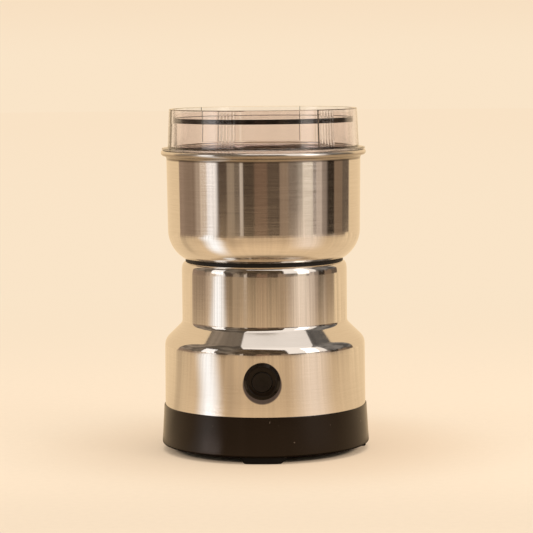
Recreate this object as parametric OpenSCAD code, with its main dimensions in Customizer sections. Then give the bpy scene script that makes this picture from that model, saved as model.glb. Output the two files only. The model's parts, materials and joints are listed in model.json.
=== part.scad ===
// Electric spice grinder: steel bowl on a steel housing, black base, push button and clear lid.
// Millimetres. The origin is on the table under the middle of the base, +Z is up and the button
// faces -Y.

/* [Feet] */
// Height of the rubber feet
foot_h = 3.4; // [2.5:0.1:5]
// Width of a foot where it meets the base
foot_w = 22.9; // [16:0.1:28]
// How much narrower each side of a foot is at the table
foot_slope = 2; // [0.5:0.1:3]
// Bearing of the two side feet, from the front
side_foot = 102; // [88:1:104]

/* [Base] */
// Radius of the base at its bottom edge
base_r = 53.4; // [53:0.1:56]
// How much smaller the radius is at the top edge
base_draft = 1.2; // [0.6:0.1:1.4]
// Height of the base band
base_h = 20; // [19:0.5:21]
// Thickness of the base's floor
floor_t = 2.6; // [2:0.1:3.2]
// Number of air slots in the floor
vent_count = 16; // [8:1:20]

/* [Housing] */
// Radius of the sleeve where it stands in the base
sleeve_r = 51.6; // [51:0.05:51.7]
// Thickness of the sleeve's steel
sleeve_t = 0.8; // [0.5:0.1:1]
// Height of the corner between shoulder and neck
shoulder_z = 65.4; // [63:0.1:68]
// Slope of the shoulder from the horizontal, in degrees
shoulder_slope = 42.7; // [38:0.1:48]
// Rounding below the shoulder
shoulder_round = 6.5; // [4:0.5:8]
// Radius of the neck
neck_r = 42.35; // [42:0.05:43]
// Height of the neck's top
neck_top = 97.3; // [97.1:0.1:97.4]
// Rounding of the neck's top edge
neck_round = 3.4; // [3:0.1:3.6]

/* [Bowl] */
// Radius of the bowl's wall above its bottom corner
bowl_r = 49.2; // [48.5:0.1:50]
// How much wider the wall is under the rim
bowl_flare = 0.4; // [0.2:0.1:0.6]
// Thickness of the bowl's steel
bowl_t = 0.8; // [0.6:0.1:1]
// Radius of the bowl's bottom corner
bowl_round = 17; // [16.8:0.1:17.4]
// Height of the bowl's underside
bowl_bottom = 96.3; // [96.2:0.05:96.4]
// Height of the top of the bowl's rim
bowl_top = 154.2; // [150:0.1:156]
// Radius of the bead that the rim is rolled to
rim_bead = 1.5; // [1.2:0.1:1.6]

/* [Lid] */
// Height of the lid's wall above its flange
lid_wall_h = 19.6; // [14:0.1:26]
// Radius of the lid's wall at the top
lid_top_r = 47.95; // [47:0.05:48.5]
// Radius of the lid's wall where it meets the flange
lid_foot_r = 48.8; // [48.5:0.1:49.5]
// Thickness of the lid's wall
lid_wall = 2; // [1.8:0.1:2.2]
// Radius of the flange that rests on the bowl's rim
flange_r = 52; // [51:0.1:53]
// Thickness of the flange
flange_t = 1.1; // [1:0.1:3]
// How far the lid reaches down into the bowl
spigot_h = 7.5; // [5:0.5:9]
// Depth of the shallow well above the lid's plate
well_h = 4.5; // [3.5:0.1:6]
// Height of the lid's black seal
lid_seal_h = 2.3; // [1.8:0.1:2.6]
// Bearings of the two ends of a grip recess, in degrees from the button towards +X
grip_ends = [-22.8, 45.4];
// Depth of the grip recesses
grip_depth = 0.6; // [0.3:0.1:0.8]
// Number of ribs at each end of a recess
grip_ribs = 4; // [3:1:5]

/* [Button] */
// Height of the button's centre
button_z = 41.5; // [40.5:0.1:43]
// Diameter of the bezel
bezel_d = 18.7; // [17.4:0.1:19]
// Distance from the grinder's axis to the bezel's front
bezel_front = 54.6; // [54.2:0.1:55.4]
// Diameter of the button cap
cap_d = 10.2; // [9.8:0.1:10.4]
// Travel of the button
button_travel = 2.2; // [1.6:0.1:2.2]

/* [Blades] */
// Span of the lower blade
lower_blade_l = 66; // [56:1:70]
// Span of the upper blade
upper_blade_l = 62; // [52:1:66]
// Width of the blades
blade_w = 11; // [9:0.5:12]
// Thickness of the blades
blade_t = 1.5; // [1.2:0.1:1.5]
// Downward bend of the lower blade's wings, in degrees
lower_bend = 7; // [0:1:8]
// Upward bend of the upper blade's wings, in degrees
upper_bend = 26; // [18:1:32]

/* [Motor] */
// Width of the stator core
stator_w = 54; // [53:0.5:55]
// Height of the stator's stack of laminations
stack_h = 24; // [22:1:24]
// Radius of the rotor core
rotor_r = 17; // [16.8:0.05:17.2]
// Number of rotor slots
rotor_slots = 12; // [10:1:12]
// Number of fan blades
fan_blades = 9; // [7:1:11]

/* [Hidden] */
$fn = 96;

steel = "silver";
dark = "#1c1815";
rubber = "#151313";
copper = "#b4693a";
brass = "#c9a24a";
clear = [0.92, 0.88, 0.83, 0.35];

eps = 0.01; // overlap that joins the solids of one piece
cut = 1; // how far a cutter runs past the face it cuts
touch = 0.05; // gap between curved pieces that lie against each other
run = 0.06; // running clearance of shafts and sliding pieces

base_top = foot_h + base_h;
base_wall = 2.4;
base_ledge = base_top - 3.4; // the sleeve stands on this ledge
floor_top = foot_h + floor_t;
base_inner_r = base_r - base_draft - base_wall;
foot_outer_r = 51.8;
foot_inner_r = 43.6;
foot_peg_r = 47;
peg_r = 2.4;
tab_r = 43; // bolt circle of the base screws
screw_r = 1.95;
screw_head_r = 3.6;
boss_top = 22;
boss_step = 14; // height of the step that a base screw's head pulls against

shoulder_n = 90 - shoulder_slope; // bearing of the shoulder's normal
sleeve_draft = 0.2;
shoulder_r = sleeve_r - sleeve_draft; // radius of the sleeve below its shoulder
shoulder_d = cos(shoulder_n) * neck_r + sin(shoulder_n) * shoulder_z;
corner_round = 0.8;
lip_r = 38.3; // radius of the opening in the neck's top

bowl_wall_z = bowl_bottom + bowl_round;
bowl_rim_r = bowl_r + bowl_flare; // outside of the wall under the rim
rim_z = bowl_top - rim_bead;
bead_r = bowl_rim_r + 1.3; // radius of the bead's centre line
rim_fillet = 1.5;
bowl_floor = bowl_bottom + bowl_t;
bowl_mouth_r = bowl_rim_r - bowl_t;
bowl_screw_r = 22;

lid_z = bowl_top + touch; // underside of the flange
flange_top = lid_z + flange_t;
lid_top = flange_top + lid_wall_h;
spigot_r = bowl_mouth_r - 0.5;
plate_top = lid_top - well_h;
seal_z = plate_top - lid_seal_h;
ledge_z = seal_z - 0.6; // underside of the plate, whose ledge carries the seal
lid_step = 0.6; // the plate's ledge rests on this step in the wall

shaft_r = 4;
journal_r = 3;
stack_z = 48;
stack_top = stack_z + stack_h;
shaft_bottom = 20.5;
blade_z = 106; // underside of the lower blade
thread_top = 117;
bolt_xy = 21.5;
post_r = 4.5;
bracket_z = 25;
bracket_t = 3;
bearing_r = 7.5;
air_gap = 0.6;
commutator_r = 9.2;
brush_z = 36.5;
plate_z = 91.5; // underside of the motor plate's disc

barrel_r = 7.8;
barrel_rear = 39.6; // rear end of the switch barrel, from the grinder's axis
cap_r = cap_d / 2;
cap_lip = 49.94; // front of the cap's retaining lip
cap_lip_r = cap_r + 0.8;
cap_front = bezel_front - 0.4;
cap_ceiling = cap_front - 2;
bridge_w = 35.4; // front face of the contact bridge
contact_w = bridge_w - 0.8 - button_travel - touch;
switch_x = 8;
switch_zh = 9;
terminal_x = 4;

gland_z = 14;
gland_bore_r = 3.4;
gland_r = 5;
lead_r = 1;

// Points along an arc about c from bearing a to bearing b
function arc(c, r, a, b, n) =
    [for (i = [0:n]) let (t = a + (b - a) * i / n) [c[0] + r * cos(t), c[1] + r * sin(t)]];

function reverse(p) = [for (i = [len(p) - 1:-1:0]) p[i]];

function unit(v) = v / norm(v);

// One point of the smooth curve through the points p, between p[i] and p[i + 1]
function curve_point(p, i, t) =
    let (a = p[max(i - 1, 0)], b = p[i], c = p[i + 1], d = p[min(i + 2, len(p) - 1)])
    (2 * b + (c - a) * t + (2 * a - 5 * b + 4 * c - d) * t * t
        + (3 * b - a - 3 * c + d) * t * t * t) / 2;

function curve(p, n) =
    [for (i = [0:len(p) - 2]) for (k = [0:n - 1]) curve_point(p, i, k / n), p[len(p) - 1]];

// Ring of points about c, square to dir
function ring(c, dir, r, sides) =
    let (u = unit(cross(dir, [0.21, 0.33, 0.92])), v = cross(dir, u))
    [for (k = [0:sides - 1]) c + r * (cos(360 * k / sides) * u + sin(360 * k / sides) * v)];

// Round wire along a route of points
module wire(route, r, sides) {
    n = len(route);
    dirs = [for (i = [0:n - 1]) unit(route[min(i + 1, n - 1)] - route[max(i - 1, 0)])];
    points = [for (i = [0:n - 1]) each ring(route[i], dirs[i], r, sides)];
    start = [for (k = [0:sides - 1]) k];
    end = [for (k = [sides - 1:-1:0]) (n - 1) * sides + k];
    wall = [
        for (i = [0:n - 2]) for (k = [0:sides - 1])
            let (a = i * sides + k, b = i * sides + (k + 1) % sides)
            each [[a, a + sides, b + sides], [a, b + sides, b]]
    ];
    polyhedron(points, concat([start, end], wall));
}

// Helical spring along +Z from 0 to length
module spring(coil_r, wire_r, length, turns) {
    steps = turns * 12;
    route = [
        for (i = [0:steps])
            let (a = 360 * turns * i / steps)
            [coil_r * cos(a), coil_r * sin(a), wire_r + (length - 2 * wire_r) * i / steps]
    ];
    wire(route, wire_r, 6);
}

// Places children on the switch's axis: their +Z points out of the front, from the grinder's axis
module on_switch_axis() {
    translate([0, 0, button_z]) rotate([90, 0, 0]) children();
}

// Copies children to count places round the axis, the first at bearing start
module around(count, start = 0) {
    for (i = [0:count - 1]) rotate([0, 0, start + 360 * i / count]) children();
}

module ring_solid(r_out, r_in, z, h) {
    difference() {
        translate([0, 0, z]) cylinder(r = r_out, h = h);
        translate([0, 0, z - cut]) cylinder(r = r_in, h = h + 2 * cut);
    }
}

// ---- lid ----

// Radius of the lid's outer wall at height z
function lid_r(z) = lid_foot_r + (lid_top_r - lid_foot_r) * (z - flange_top) / lid_wall_h;

// Radius of the wall's inside at height z, above the step
function lid_inner_r(z) = lid_r(z) - lid_wall;

// Solid slice of the lid wall between two bearings, inset from the outer surface by depth
module grip_slice(depth, from, to) {
    outline = [
        [lid_r(flange_top) - depth, flange_top + 0.6],
        [lid_r(flange_top) + 2, flange_top + 0.6],
        [lid_r(lid_top) + 2, lid_top + cut],
        [lid_r(lid_top) - depth, lid_top + cut]
    ];
    rotate([0, 0, from - 90]) rotate_extrude(angle = to - from) polygon(outline);
}

module lid_shell() {
    wall_path = concat(
        arc([flange_r - 0.5, lid_z + 0.5], 0.5, -90, 0, 4),
        arc([flange_r - 0.5, flange_top - 0.5], 0.5, 0, 90, 4),
        [[lid_foot_r + 0.5, flange_top], [lid_foot_r, flange_top + 0.5]],
        arc([lid_top_r - 0.5, lid_top - 0.5], 0.5, 0, 90, 4),
        arc([lid_inner_r(lid_top) + 0.5, lid_top - 0.5], 0.5, 90, 180, 4),
        [
            [lid_inner_r(ledge_z), ledge_z],
            [lid_inner_r(ledge_z) - lid_step, ledge_z],
            [spigot_r - lid_wall, lid_z - spigot_h + 0.5],
            [spigot_r - lid_wall + 0.5, lid_z - spigot_h],
            [spigot_r - 0.5, lid_z - spigot_h],
            [spigot_r, lid_z - spigot_h + 0.5],
            [spigot_r, lid_z]
        ]
    );
    rib_step = 2.6; // degrees between ribs
    rib_turn = 1.1; // degrees across one rib
    color(clear) difference() {
        rotate_extrude() polygon(wall_path);
        for (half = [0, 180]) {
            for (k = [0:grip_ribs - 1]) {
                grip_slice(grip_depth, half + grip_ends[0] + k * rib_step,
                    half + grip_ends[0] + (k + 1) * rib_step - rib_turn);
                grip_slice(grip_depth, half + grip_ends[1] - (k + 1) * rib_step + rib_turn,
                    half + grip_ends[1] - k * rib_step);
            }
            grip_slice(grip_depth, half + grip_ends[0] + grip_ribs * rib_step,
                half + grip_ends[1] - grip_ribs * rib_step);
        }
    }
}

// Clear disc that closes the lid, with a rebate round its edge for the seal
module lid_plate() {
    edge_r = lid_inner_r(seal_z) - touch;
    rebate_r = edge_r - 1.7;
    outline = [
        [0, ledge_z], [edge_r, ledge_z], [edge_r, seal_z],
        [rebate_r, seal_z], [rebate_r, plate_top - 0.4], [rebate_r - 0.4, plate_top],
        [0, plate_top]
    ];
    color(clear) rotate_extrude() polygon(outline);
}

module lid_seal() {
    outer_r = lid_inner_r(plate_top) - touch;
    inner_r = outer_r - 1.45;
    mid_z = seal_z + lid_seal_h / 2;
    outline = [
        [inner_r, seal_z + touch], [outer_r - 0.4, seal_z + touch], [outer_r, mid_z - 0.5],
        [outer_r, mid_z + 0.5], [outer_r - 0.4, plate_top], [inner_r, plate_top]
    ];
    color(rubber) rotate_extrude() polygon(outline);
}

// ---- bowl ----

module grinding_bowl() {
    corner = [bowl_r - bowl_round, bowl_wall_z];
    outside = concat(
        [[0, bowl_bottom]],
        arc(corner, bowl_round, -90, 0, 14),
        arc([bowl_rim_r + rim_fillet, rim_z - rim_bead - rim_fillet], rim_fillet, 180, 100, 4),
        arc([bead_r, rim_z], rim_bead, -80, 90, 10)
    );
    inside = concat(
        arc([bowl_mouth_r + 1.2, bowl_top - 1.2], 1.2, 90, 180, 4),
        arc(corner, bowl_round - bowl_t, 0, -90, 14),
        [[0, bowl_floor]]
    );
    color(steel) difference() {
        rotate_extrude() polygon(concat(outside, inside));
        translate([0, 0, bowl_bottom - cut]) cylinder(r = 8 + touch, h = bowl_t + 2 * cut);
        around(3, 90) translate([bowl_screw_r, 0, bowl_bottom - cut])
            cylinder(r = screw_r + 0.15, h = bowl_t + 2 * cut);
    }
}

// Black ring squeezed between the neck's rounded top and the bowl's corner
module bowl_seal() {
    color(rubber) rotate_extrude() difference() {
        translate([lip_r + 0.4, neck_top - 1]) square([40.4 - lip_r - 0.4, 3]);
        translate([neck_r - neck_round, neck_top - neck_round]) circle(r = neck_round + touch);
        translate([0, neck_top - 2]) square([neck_r - neck_round, 2 + touch]);
        translate([bowl_r - bowl_round, bowl_wall_z]) circle(r = bowl_round + touch, $fn = 180);
    }
}

module pan_screw(head_z, tip_z) {
    head_h = 2.2;
    difference() {
        union() {
            translate([0, 0, head_z]) cylinder(r1 = screw_head_r, r2 = screw_head_r - 0.6, h = head_h);
            translate([0, 0, tip_z]) cylinder(r = screw_r, h = head_z - tip_z + eps);
        }
        for (a = [0, 90]) rotate([0, 0, a])
            translate([-2, -0.45, head_z + head_h - 1.2]) cube([4, 0.9, 1.2 + cut]);
    }
}

module bowl_screws() {
    color(steel) around(3, 90) translate([bowl_screw_r, 0, 0]) pan_screw(bowl_floor, 88);
}

// Flanged bronze bush through the bowl's floor
module shaft_bush() {
    color(brass) difference() {
        union() {
            translate([0, 0, 93.2]) cylinder(r = 8, h = 5);
            translate([0, 0, bowl_floor]) cylinder(r1 = 11, r2 = 9.6, h = 2.2);
        }
        translate([0, 0, 93.2 - cut]) cylinder(r = shaft_r + run, h = 10);
    }
}

module shaft_seal() {
    outline = [
        [shaft_r + run, bowl_floor + 2.2], [8, bowl_floor + 2.2], [8, bowl_floor + 3],
        [5.6, bowl_floor + 3.8], [shaft_r + run, bowl_floor + 3.8]
    ];
    color(rubber) rotate_extrude() polygon(outline);
}

// ---- blades ----

module blade_collar() {
    color(steel) difference() {
        union() {
            translate([0, 0, 101.4]) cylinder(r = 6, h = 2);
            translate([0, 0, 103.4 - eps]) cylinder(r = 6.9, h = blade_z - 103.4 + eps);
        }
        translate([0, 0, 100]) cylinder(r = shaft_r + 0.02, h = 7);
    }
}

// One wing along +X, bent by an angle at the edge of the hub, with a ground leading edge
module blade_wing(length, bend) {
    section = [
        [-blade_w / 2, 0], [blade_w / 2 - 2, 0], [blade_w / 2, blade_t - 0.3],
        [blade_w / 2, blade_t], [-blade_w / 2, blade_t]
    ];
    root = 7;
    tip_cut = 24; // degrees that the tip is raked back
    difference() {
        translate([root, 0, 0]) rotate([0, -bend, 0]) rotate([90, 0, 90])
            linear_extrude(height = length - root + 6) polygon(section);
        translate([length, -blade_w / 2, -20]) rotate([0, 0, tip_cut]) translate([0, -20, 0])
            cube([20, 60, 60]);
    }
}

module blade(z, span, bend) {
    translate([0, 0, z]) difference() {
        union() {
            cylinder(r = 8, h = blade_t);
            for (a = [0, 180]) rotate([0, 0, a]) blade_wing(span / 2, bend);
        }
        translate([0, 0, -cut]) cylinder(r = journal_r + 0.02, h = blade_t + 2 * cut);
    }
}

module lower_blade() {
    color("#c8c6c2") blade(blade_z, lower_blade_l, -lower_bend);
}

module upper_blade() {
    color("#d2d0cc") rotate([0, 0, 90]) blade(blade_z + blade_t, upper_blade_l, upper_bend);
}

module blade_washer() {
    color(steel) ring_solid(6.5, journal_r + 0.02, blade_z + 2 * blade_t, 1.2);
}

module blade_nut() {
    z = blade_z + 2 * blade_t + 1.2;
    color(steel) difference() {
        union() {
            translate([0, 0, z]) cylinder(r = 5.77, h = 4, $fn = 6);
            translate([0, 0, z + 3.9]) cylinder(r = 4.6, h = 0.6);
            translate([0, 0, z + 4.5]) intersection() {
                sphere(r = 4.6);
                cylinder(r = 5, h = 5);
            }
        }
        translate([0, 0, z - cut]) cylinder(r = journal_r + 0.02, h = thread_top + 0.2 - z + cut);
    }
}

// ---- housing ----

// The sleeve's surface from its foot to the neck's opening, inset by d
function sleeve_path(d) = concat(
    [[sleeve_r - d, base_ledge + touch]],
    arc([shoulder_r - shoulder_round, shoulder_centre_z()], shoulder_round - d, 0, shoulder_n, 8),
    arc([neck_r + corner_round, corner_centre_z()], -corner_round - d, shoulder_n, 0, 4),
    arc([neck_r - neck_round, neck_top - neck_round], neck_round - d, 0, 90, 8),
    [[lip_r, neck_top - d]]
);

function shoulder_centre_z() =
    (shoulder_d - shoulder_round - cos(shoulder_n) * (shoulder_r - shoulder_round)) / sin(shoulder_n);

function corner_centre_z() =
    (shoulder_d + corner_round - cos(shoulder_n) * (neck_r + corner_round)) / sin(shoulder_n);

module housing_sleeve() {
    color(steel) difference() {
        rotate_extrude() polygon(concat(sleeve_path(0), reverse(sleeve_path(sleeve_t))));
        on_switch_axis() translate([0, 0, 45]) cylinder(r = barrel_r + 0.2, h = 12);
    }
}

module damping_ring() {
    color(rubber) ring_solid(39, 36.6, plate_z + 3, neck_top - sleeve_t - plate_z - 3 - touch);
}

// Angle tabs welded inside the sleeve's foot, tapped for the base screws
module base_tabs() {
    tab_outer = sleeve_r - sleeve_t - 0.15;
    color(steel) around(4, 45) difference() {
        union() {
            intersection() {
                ring_solid(tab_outer, tab_outer - 1.2, boss_top, 8);
                translate([0, -5, 0]) cube([60, 10, 60]);
            }
            intersection() {
                translate([38, -5, boss_top]) cube([20, 10, 1.5]);
                cylinder(r = tab_outer - 0.6, h = 60);
            }
        }
        translate([tab_r, 0, boss_top - cut]) cylinder(r = screw_r + touch, h = 1.5 + 2 * cut);
    }
}

// ---- motor ----

module motor_plate() {
    color(dark) difference() {
        union() {
            translate([0, 0, plate_z]) cylinder(r = 40, h = 3);
            translate([0, 0, plate_z]) cylinder(r = 36, h = bowl_bottom - plate_z);
            translate([0, 0, 84.8]) cylinder(r = 10.5, h = plate_z - 84.8 + eps);
            around(3, 90) translate([bowl_screw_r, 0, 87]) cylinder(r = 4.6, h = plate_z - 87 + eps);
            motor_corners() translate([0, 0, stack_top + touch])
                cylinder(r = post_r, h = plate_z - stack_top);
        }
        translate([0, 0, 84]) cylinder(r = bearing_r + 0.02, h = 92.3 - 84);
        translate([0, 0, 92]) cylinder(r = shaft_r + 1.2, h = 2);
        translate([0, 0, 93]) cylinder(r = 8.1, h = 5);
        around(3, 90) translate([bowl_screw_r, 0, 86]) cylinder(r = screw_r + touch, h = 12);
        motor_corners() translate([0, 0, stack_top - cut]) cylinder(r = screw_r + touch, h = 16);
    }
}

module motor_corners() {
    for (x = [-1, 1]) for (y = [-1, 1]) translate([x * bolt_xy, y * bolt_xy, 0]) children();
}

module upper_bearing() {
    color(brass) ring_solid(bearing_r, shaft_r + run, 85.2, 7);
}

module motor_outline() {
    intersection() {
        square(stator_w, center = true);
        circle(r = 35);
    }
}

module stator_core() {
    window = 21.5;
    shoe_r = 20.8;
    color("#6f6c68") translate([0, 0, stack_z]) difference() {
        linear_extrude(height = stack_h) motor_outline();
        translate([0, 0, -cut]) cylinder(r = rotor_r + air_gap, h = stack_h + 2 * cut);
        translate([0, 0, -cut]) linear_extrude(height = stack_h + 2 * cut) difference() {
            intersection() {
                square(2 * window, center = true);
                circle(r = 26.3);
            }
            circle(r = shoe_r);
            square([20, 60], center = true);
        }
        translate([-window, -9, -cut]) cube([2 * window, 18, stack_h + 2 * cut]);
        motor_corners() translate([0, 0, -cut]) cylinder(r = screw_r + 0.15, h = stack_h + 2 * cut);
    }
}

// Coil wound round one pole, its legs in the stator's windows and its ends above and below
module field_coil() {
    end_h = 3.7;
    leg = [[10.6, 18.4], [10.6, 21.2], [15, 21.2], [19.5, 16.5], [19.5, 9.5], [15.5, 14.5]];
    color(copper) union() {
        for (side = [0, 1]) mirror([side, 0, 0]) translate([0, 0, stack_z - end_h])
            linear_extrude(height = stack_h + 2 * end_h) polygon(leg);
        for (z = [stack_z - end_h, stack_top + 0.3])
            translate([-12, 18.4, z]) cube([24, 2.8, end_h - 0.3]);
    }
}

module rotor_shaft() {
    color("#b9b7b3") union() {
        translate([0, 0, shaft_bottom]) cylinder(r = journal_r, h = 12);
        translate([0, 0, 31]) cylinder(r = shaft_r, h = blade_z - 31);
        translate([0, 0, blade_z - eps]) cylinder(r = journal_r, h = thread_top - blade_z - 1);
        translate([0, 0, thread_top - 1 - 2 * eps]) cylinder(r1 = journal_r, r2 = journal_r - 0.8, h = 1);
    }
}

module rotor_core() {
    color("#7a7672") translate([0, 0, stack_z]) difference() {
        cylinder(r = rotor_r, h = stack_h);
        translate([0, 0, -cut]) cylinder(r = shaft_r + 0.02, h = stack_h + 2 * cut);
        around(rotor_slots) {
            translate([13, 0, -cut]) cylinder(r = 1.9, h = stack_h + 2 * cut);
            translate([13, -0.6, -cut]) cube([6, 1.2, stack_h + 2 * cut]);
        }
    }
}

module rotor_windings() {
    bundle = [[6.5, 0.1], [15.4, 0.1], [15.9, 1.6], [14.4, 3.6], [10.5, 4.4], [7.2, 3.6], [6.2, 1.6]];
    color(copper) union() {
        translate([0, 0, stack_top]) rotate_extrude() polygon(bundle);
        translate([0, 0, stack_z]) mirror([0, 0, 1]) rotate_extrude() polygon(bundle);
        around(rotor_slots) translate([13, 0, stack_z - 0.5]) cylinder(r = 1.7, h = stack_h + 1);
    }
}

module commutator() {
    color(copper) difference() {
        union() {
            translate([0, 0, 31.6]) cylinder(r = commutator_r, h = 10);
            translate([0, 0, 41.5]) cylinder(r = commutator_r + 1, h = 1.8);
        }
        translate([0, 0, 30]) cylinder(r = shaft_r + 0.02, h = 16);
        around(rotor_slots) translate([commutator_r - 0.8, -0.2, 30]) cube([4, 0.4, 16]);
    }
}

module cooling_fan() {
    color("#2a2724") difference() {
        union() {
            translate([0, 0, 77]) cylinder(r = 23.5, h = 1.2);
            translate([0, 0, 77]) cylinder(r = 7, h = 6);
            around(fan_blades) translate([6, -0.6, 77]) cube([16.5, 1.2, 6]);
        }
        translate([0, 0, 76]) cylinder(r = shaft_r + 0.02, h = 8);
    }
}

module lower_bracket() {
    color(dark) difference() {
        union() {
            translate([0, 0, bracket_z]) linear_extrude(height = bracket_t) motor_outline();
            translate([0, 0, 22.5]) cylinder(r = 10.5, h = 7.5);
            motor_corners() translate([0, 0, bracket_z + eps])
                cylinder(r = post_r, h = stack_z - bracket_z - touch);
            for (side = [-1, 1]) translate([side * 18 - 5.5, -3, bracket_z])
                cube([11, 6, brush_z - 4.1 - bracket_z]);
        }
        translate([0, 0, 22]) cylinder(r = bearing_r + 0.02, h = 9);
        around(2, 90) translate([18, 0, bracket_z - cut])
            cylinder(r = 4.5, h = bracket_t + 2 * cut);
        motor_corners() translate([0, 0, bracket_z - cut])
            cylinder(r = screw_r + touch, h = stack_z - bracket_z + 2 * cut);
    }
}

module lower_bearing() {
    color(brass) ring_solid(bearing_r, journal_r + run, 23, 6.5);
}

module motor_bolts() {
    color(steel) motor_corners() difference() {
        union() {
            translate([0, 0, bracket_z - 2.4]) cylinder(r = screw_head_r, h = 2.4);
            translate([0, 0, bracket_z - eps]) cylinder(r = screw_r, h = 60);
        }
        translate([-3, -0.45, bracket_z - 3.4]) cube([6, 0.9, 2.2]);
    }
}

// Brush gear along +X
module brush_holder() {
    color("#3a3430") difference() {
        translate([10.4, -4, brush_z - 4]) cube([14.6, 8, 8]);
        translate([9, -2.9, brush_z - 2.9]) cube([14.6, 5.8, 5.8]);
    }
}

module brush() {
    color("#37383a") translate([commutator_r + 0.1, -2.8, brush_z - 2.8]) cube([9.2, 5.6, 5.6]);
}

module brush_spring() {
    color(steel) translate([commutator_r + 9.32, 0, brush_z]) rotate([0, 90, 0])
        spring(2, 0.25, 23.58 - commutator_r - 9.32, 4);
}

// ---- switch ----

module switch_bezel() {
    bezel_r = bezel_d / 2;
    bore_r = cap_r + run;
    face = concat(
        [[barrel_r - 1, 45], [bezel_r, 45]],
        arc([bezel_r - 0.9, bezel_front - 0.9], 0.9, 0, 90, 5),
        [[bezel_r - 1.5, bezel_front], [bore_r + 0.3, bezel_front - 0.9], [bore_r, bezel_front - 1.2]],
        [[bore_r, 50], [barrel_r - 1, 50]]
    );
    barrel = [
        [barrel_r, barrel_rear], [barrel_r, 52.5], [cap_lip_r + 0.15, 52.5 - 2], [bore_r, 50.5],
        [bore_r, cap_lip + touch], [cap_lip_r + run, cap_lip + touch], [cap_lip_r + run, barrel_rear]
    ];
    color(dark) union() {
        difference() {
            on_switch_axis() rotate_extrude() polygon(face);
            cylinder(r = sleeve_r - 0.06, h = 80);
        }
        on_switch_axis() rotate_extrude() polygon(barrel);
    }
}

module button_cap() {
    outline = concat(
        [[0, cap_ceiling], [0, cap_front - 0.35], [2.5, cap_front - 0.22]],
        arc([cap_r - 0.6, cap_front - 0.6], 0.6, 90, 0, 5),
        [
            [cap_r, cap_lip], [cap_lip_r, cap_lip], [cap_lip_r, cap_lip - 1.4],
            [cap_r - 0.6, cap_lip - 1.4], [cap_r - 0.6, cap_ceiling]
        ]
    );
    color(dark) on_switch_axis() rotate_extrude() polygon(outline);
}

module button_plunger() {
    color("#d8d2c6") on_switch_axis() translate([0, 0, bridge_w]) cylinder(r = 1.5, h = cap_ceiling - bridge_w);
}

module contact_bridge() {
    color(brass) on_switch_axis() translate([-5.5, -1.5, bridge_w - 0.8]) cube([11, 3, 0.8]);
}

module button_spring() {
    color(steel) on_switch_axis() translate([0, 0, barrel_rear + touch])
        spring(3.2, 0.3, cap_ceiling - barrel_rear - 2 * touch, 7);
}

module switch_nut() {
    color("#c4c0b8") on_switch_axis() difference() {
        union() {
            translate([0, 0, 45.9]) cylinder(r = 11.5, h = 3, $fn = 6);
            translate([0, 0, 48.8]) cylinder(r = 9.2, h = 0.8);
        }
        translate([0, 0, 44]) cylinder(r = barrel_r + 0.04, h = 8);
    }
}

// Open-backed box behind the barrel, with a hole for the plunger
module switch_body() {
    front = barrel_rear - 0.1;
    color(dark) on_switch_axis() difference() {
        translate([-switch_x, -switch_zh, 32]) cube([2 * switch_x, 2 * switch_zh, front - 32]);
        translate([-switch_x + 1.4, -switch_zh + 1.4, 31])
            cube([2 * switch_x - 2.8, 2 * switch_zh - 2.8, front - 1.2 - 31]);
        translate([0, 0, front - 3]) cylinder(r = 1.5 + run, h = 5);
    }
}

module switch_back() {
    color("#2a2622") on_switch_axis() difference() {
        translate([-switch_x, -switch_zh, 30.6]) cube([2 * switch_x, 2 * switch_zh, 1.4]);
        for (side = [-1, 1]) translate([side * terminal_x - 0.45, -2.55, 29]) cube([0.9, 5.1, 5]);
    }
}

module switch_terminals() {
    color(brass) on_switch_axis() for (side = [-1, 1]) translate([side * terminal_x, 0, 0]) {
        translate([-0.4, -2.5, 27]) cube([0.8, 5, contact_w - 27]);
    }
}

// ---- base ----

// Radius of the base's outside at height z
function base_outer_r(z) = base_r - base_draft * (z - foot_h) / base_h;

module base_cover() {
    shell = concat(
        [[0, foot_h]],
        arc([base_r - 1.1, foot_h + 1], 1, -90, 0, 5),
        arc([base_outer_r(base_top) - 0.3, base_top - 0.3], 0.3, 0, 90, 3),
        [
            [sleeve_r + 0.08, base_top], [sleeve_r + 0.08, base_ledge],
            [base_inner_r, base_ledge], [base_inner_r, floor_top], [0, floor_top]
        ]
    );
    color(dark) difference() {
        union() {
            rotate_extrude() polygon(shell);
            around(4, 45) translate([tab_r, 0, floor_top - eps])
                cylinder(r = 5.2, h = boss_top - floor_top + eps);
        }
        around(4, 45) translate([tab_r, 0, 0]) {
            translate([0, 0, foot_h - cut]) cylinder(r = screw_head_r + 0.3, h = boss_step - foot_h + cut);
            cylinder(r = screw_r + 0.15, h = boss_top + cut);
        }
        for (bearing = [0, side_foot, 180, 360 - side_foot]) rotate([0, 0, bearing - 90])
            translate([foot_peg_r, 0, foot_h - cut]) cylinder(r = peg_r + touch, h = floor_t + 2 * cut);
        around(vent_count) translate([0, 0, foot_h - cut]) {
            translate([14, -1.3, 0]) cube([14, 2.6, floor_t + 2 * cut]);
            for (r = [14, 28]) translate([r, 0, 0]) cylinder(r = 1.3, h = floor_t + 2 * cut);
        }
        translate([0, 0, gland_z]) rotate([-90, 0, 0]) translate([0, 0, 45])
            cylinder(r = gland_r + touch, h = 12);
    }
}

module base_screws() {
    color(steel) around(4, 45) translate([tab_r, 0, 0]) difference() {
        union() {
            translate([0, 0, boss_step - 2.4]) cylinder(r = screw_head_r, h = 2.4);
            translate([0, 0, boss_step - eps]) cylinder(r = screw_r, h = 13);
        }
        for (a = [0, 90]) rotate([0, 0, a]) translate([-2, -0.45, boss_step - 3.4]) cube([4, 0.9, 2.2]);
    }
}

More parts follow.
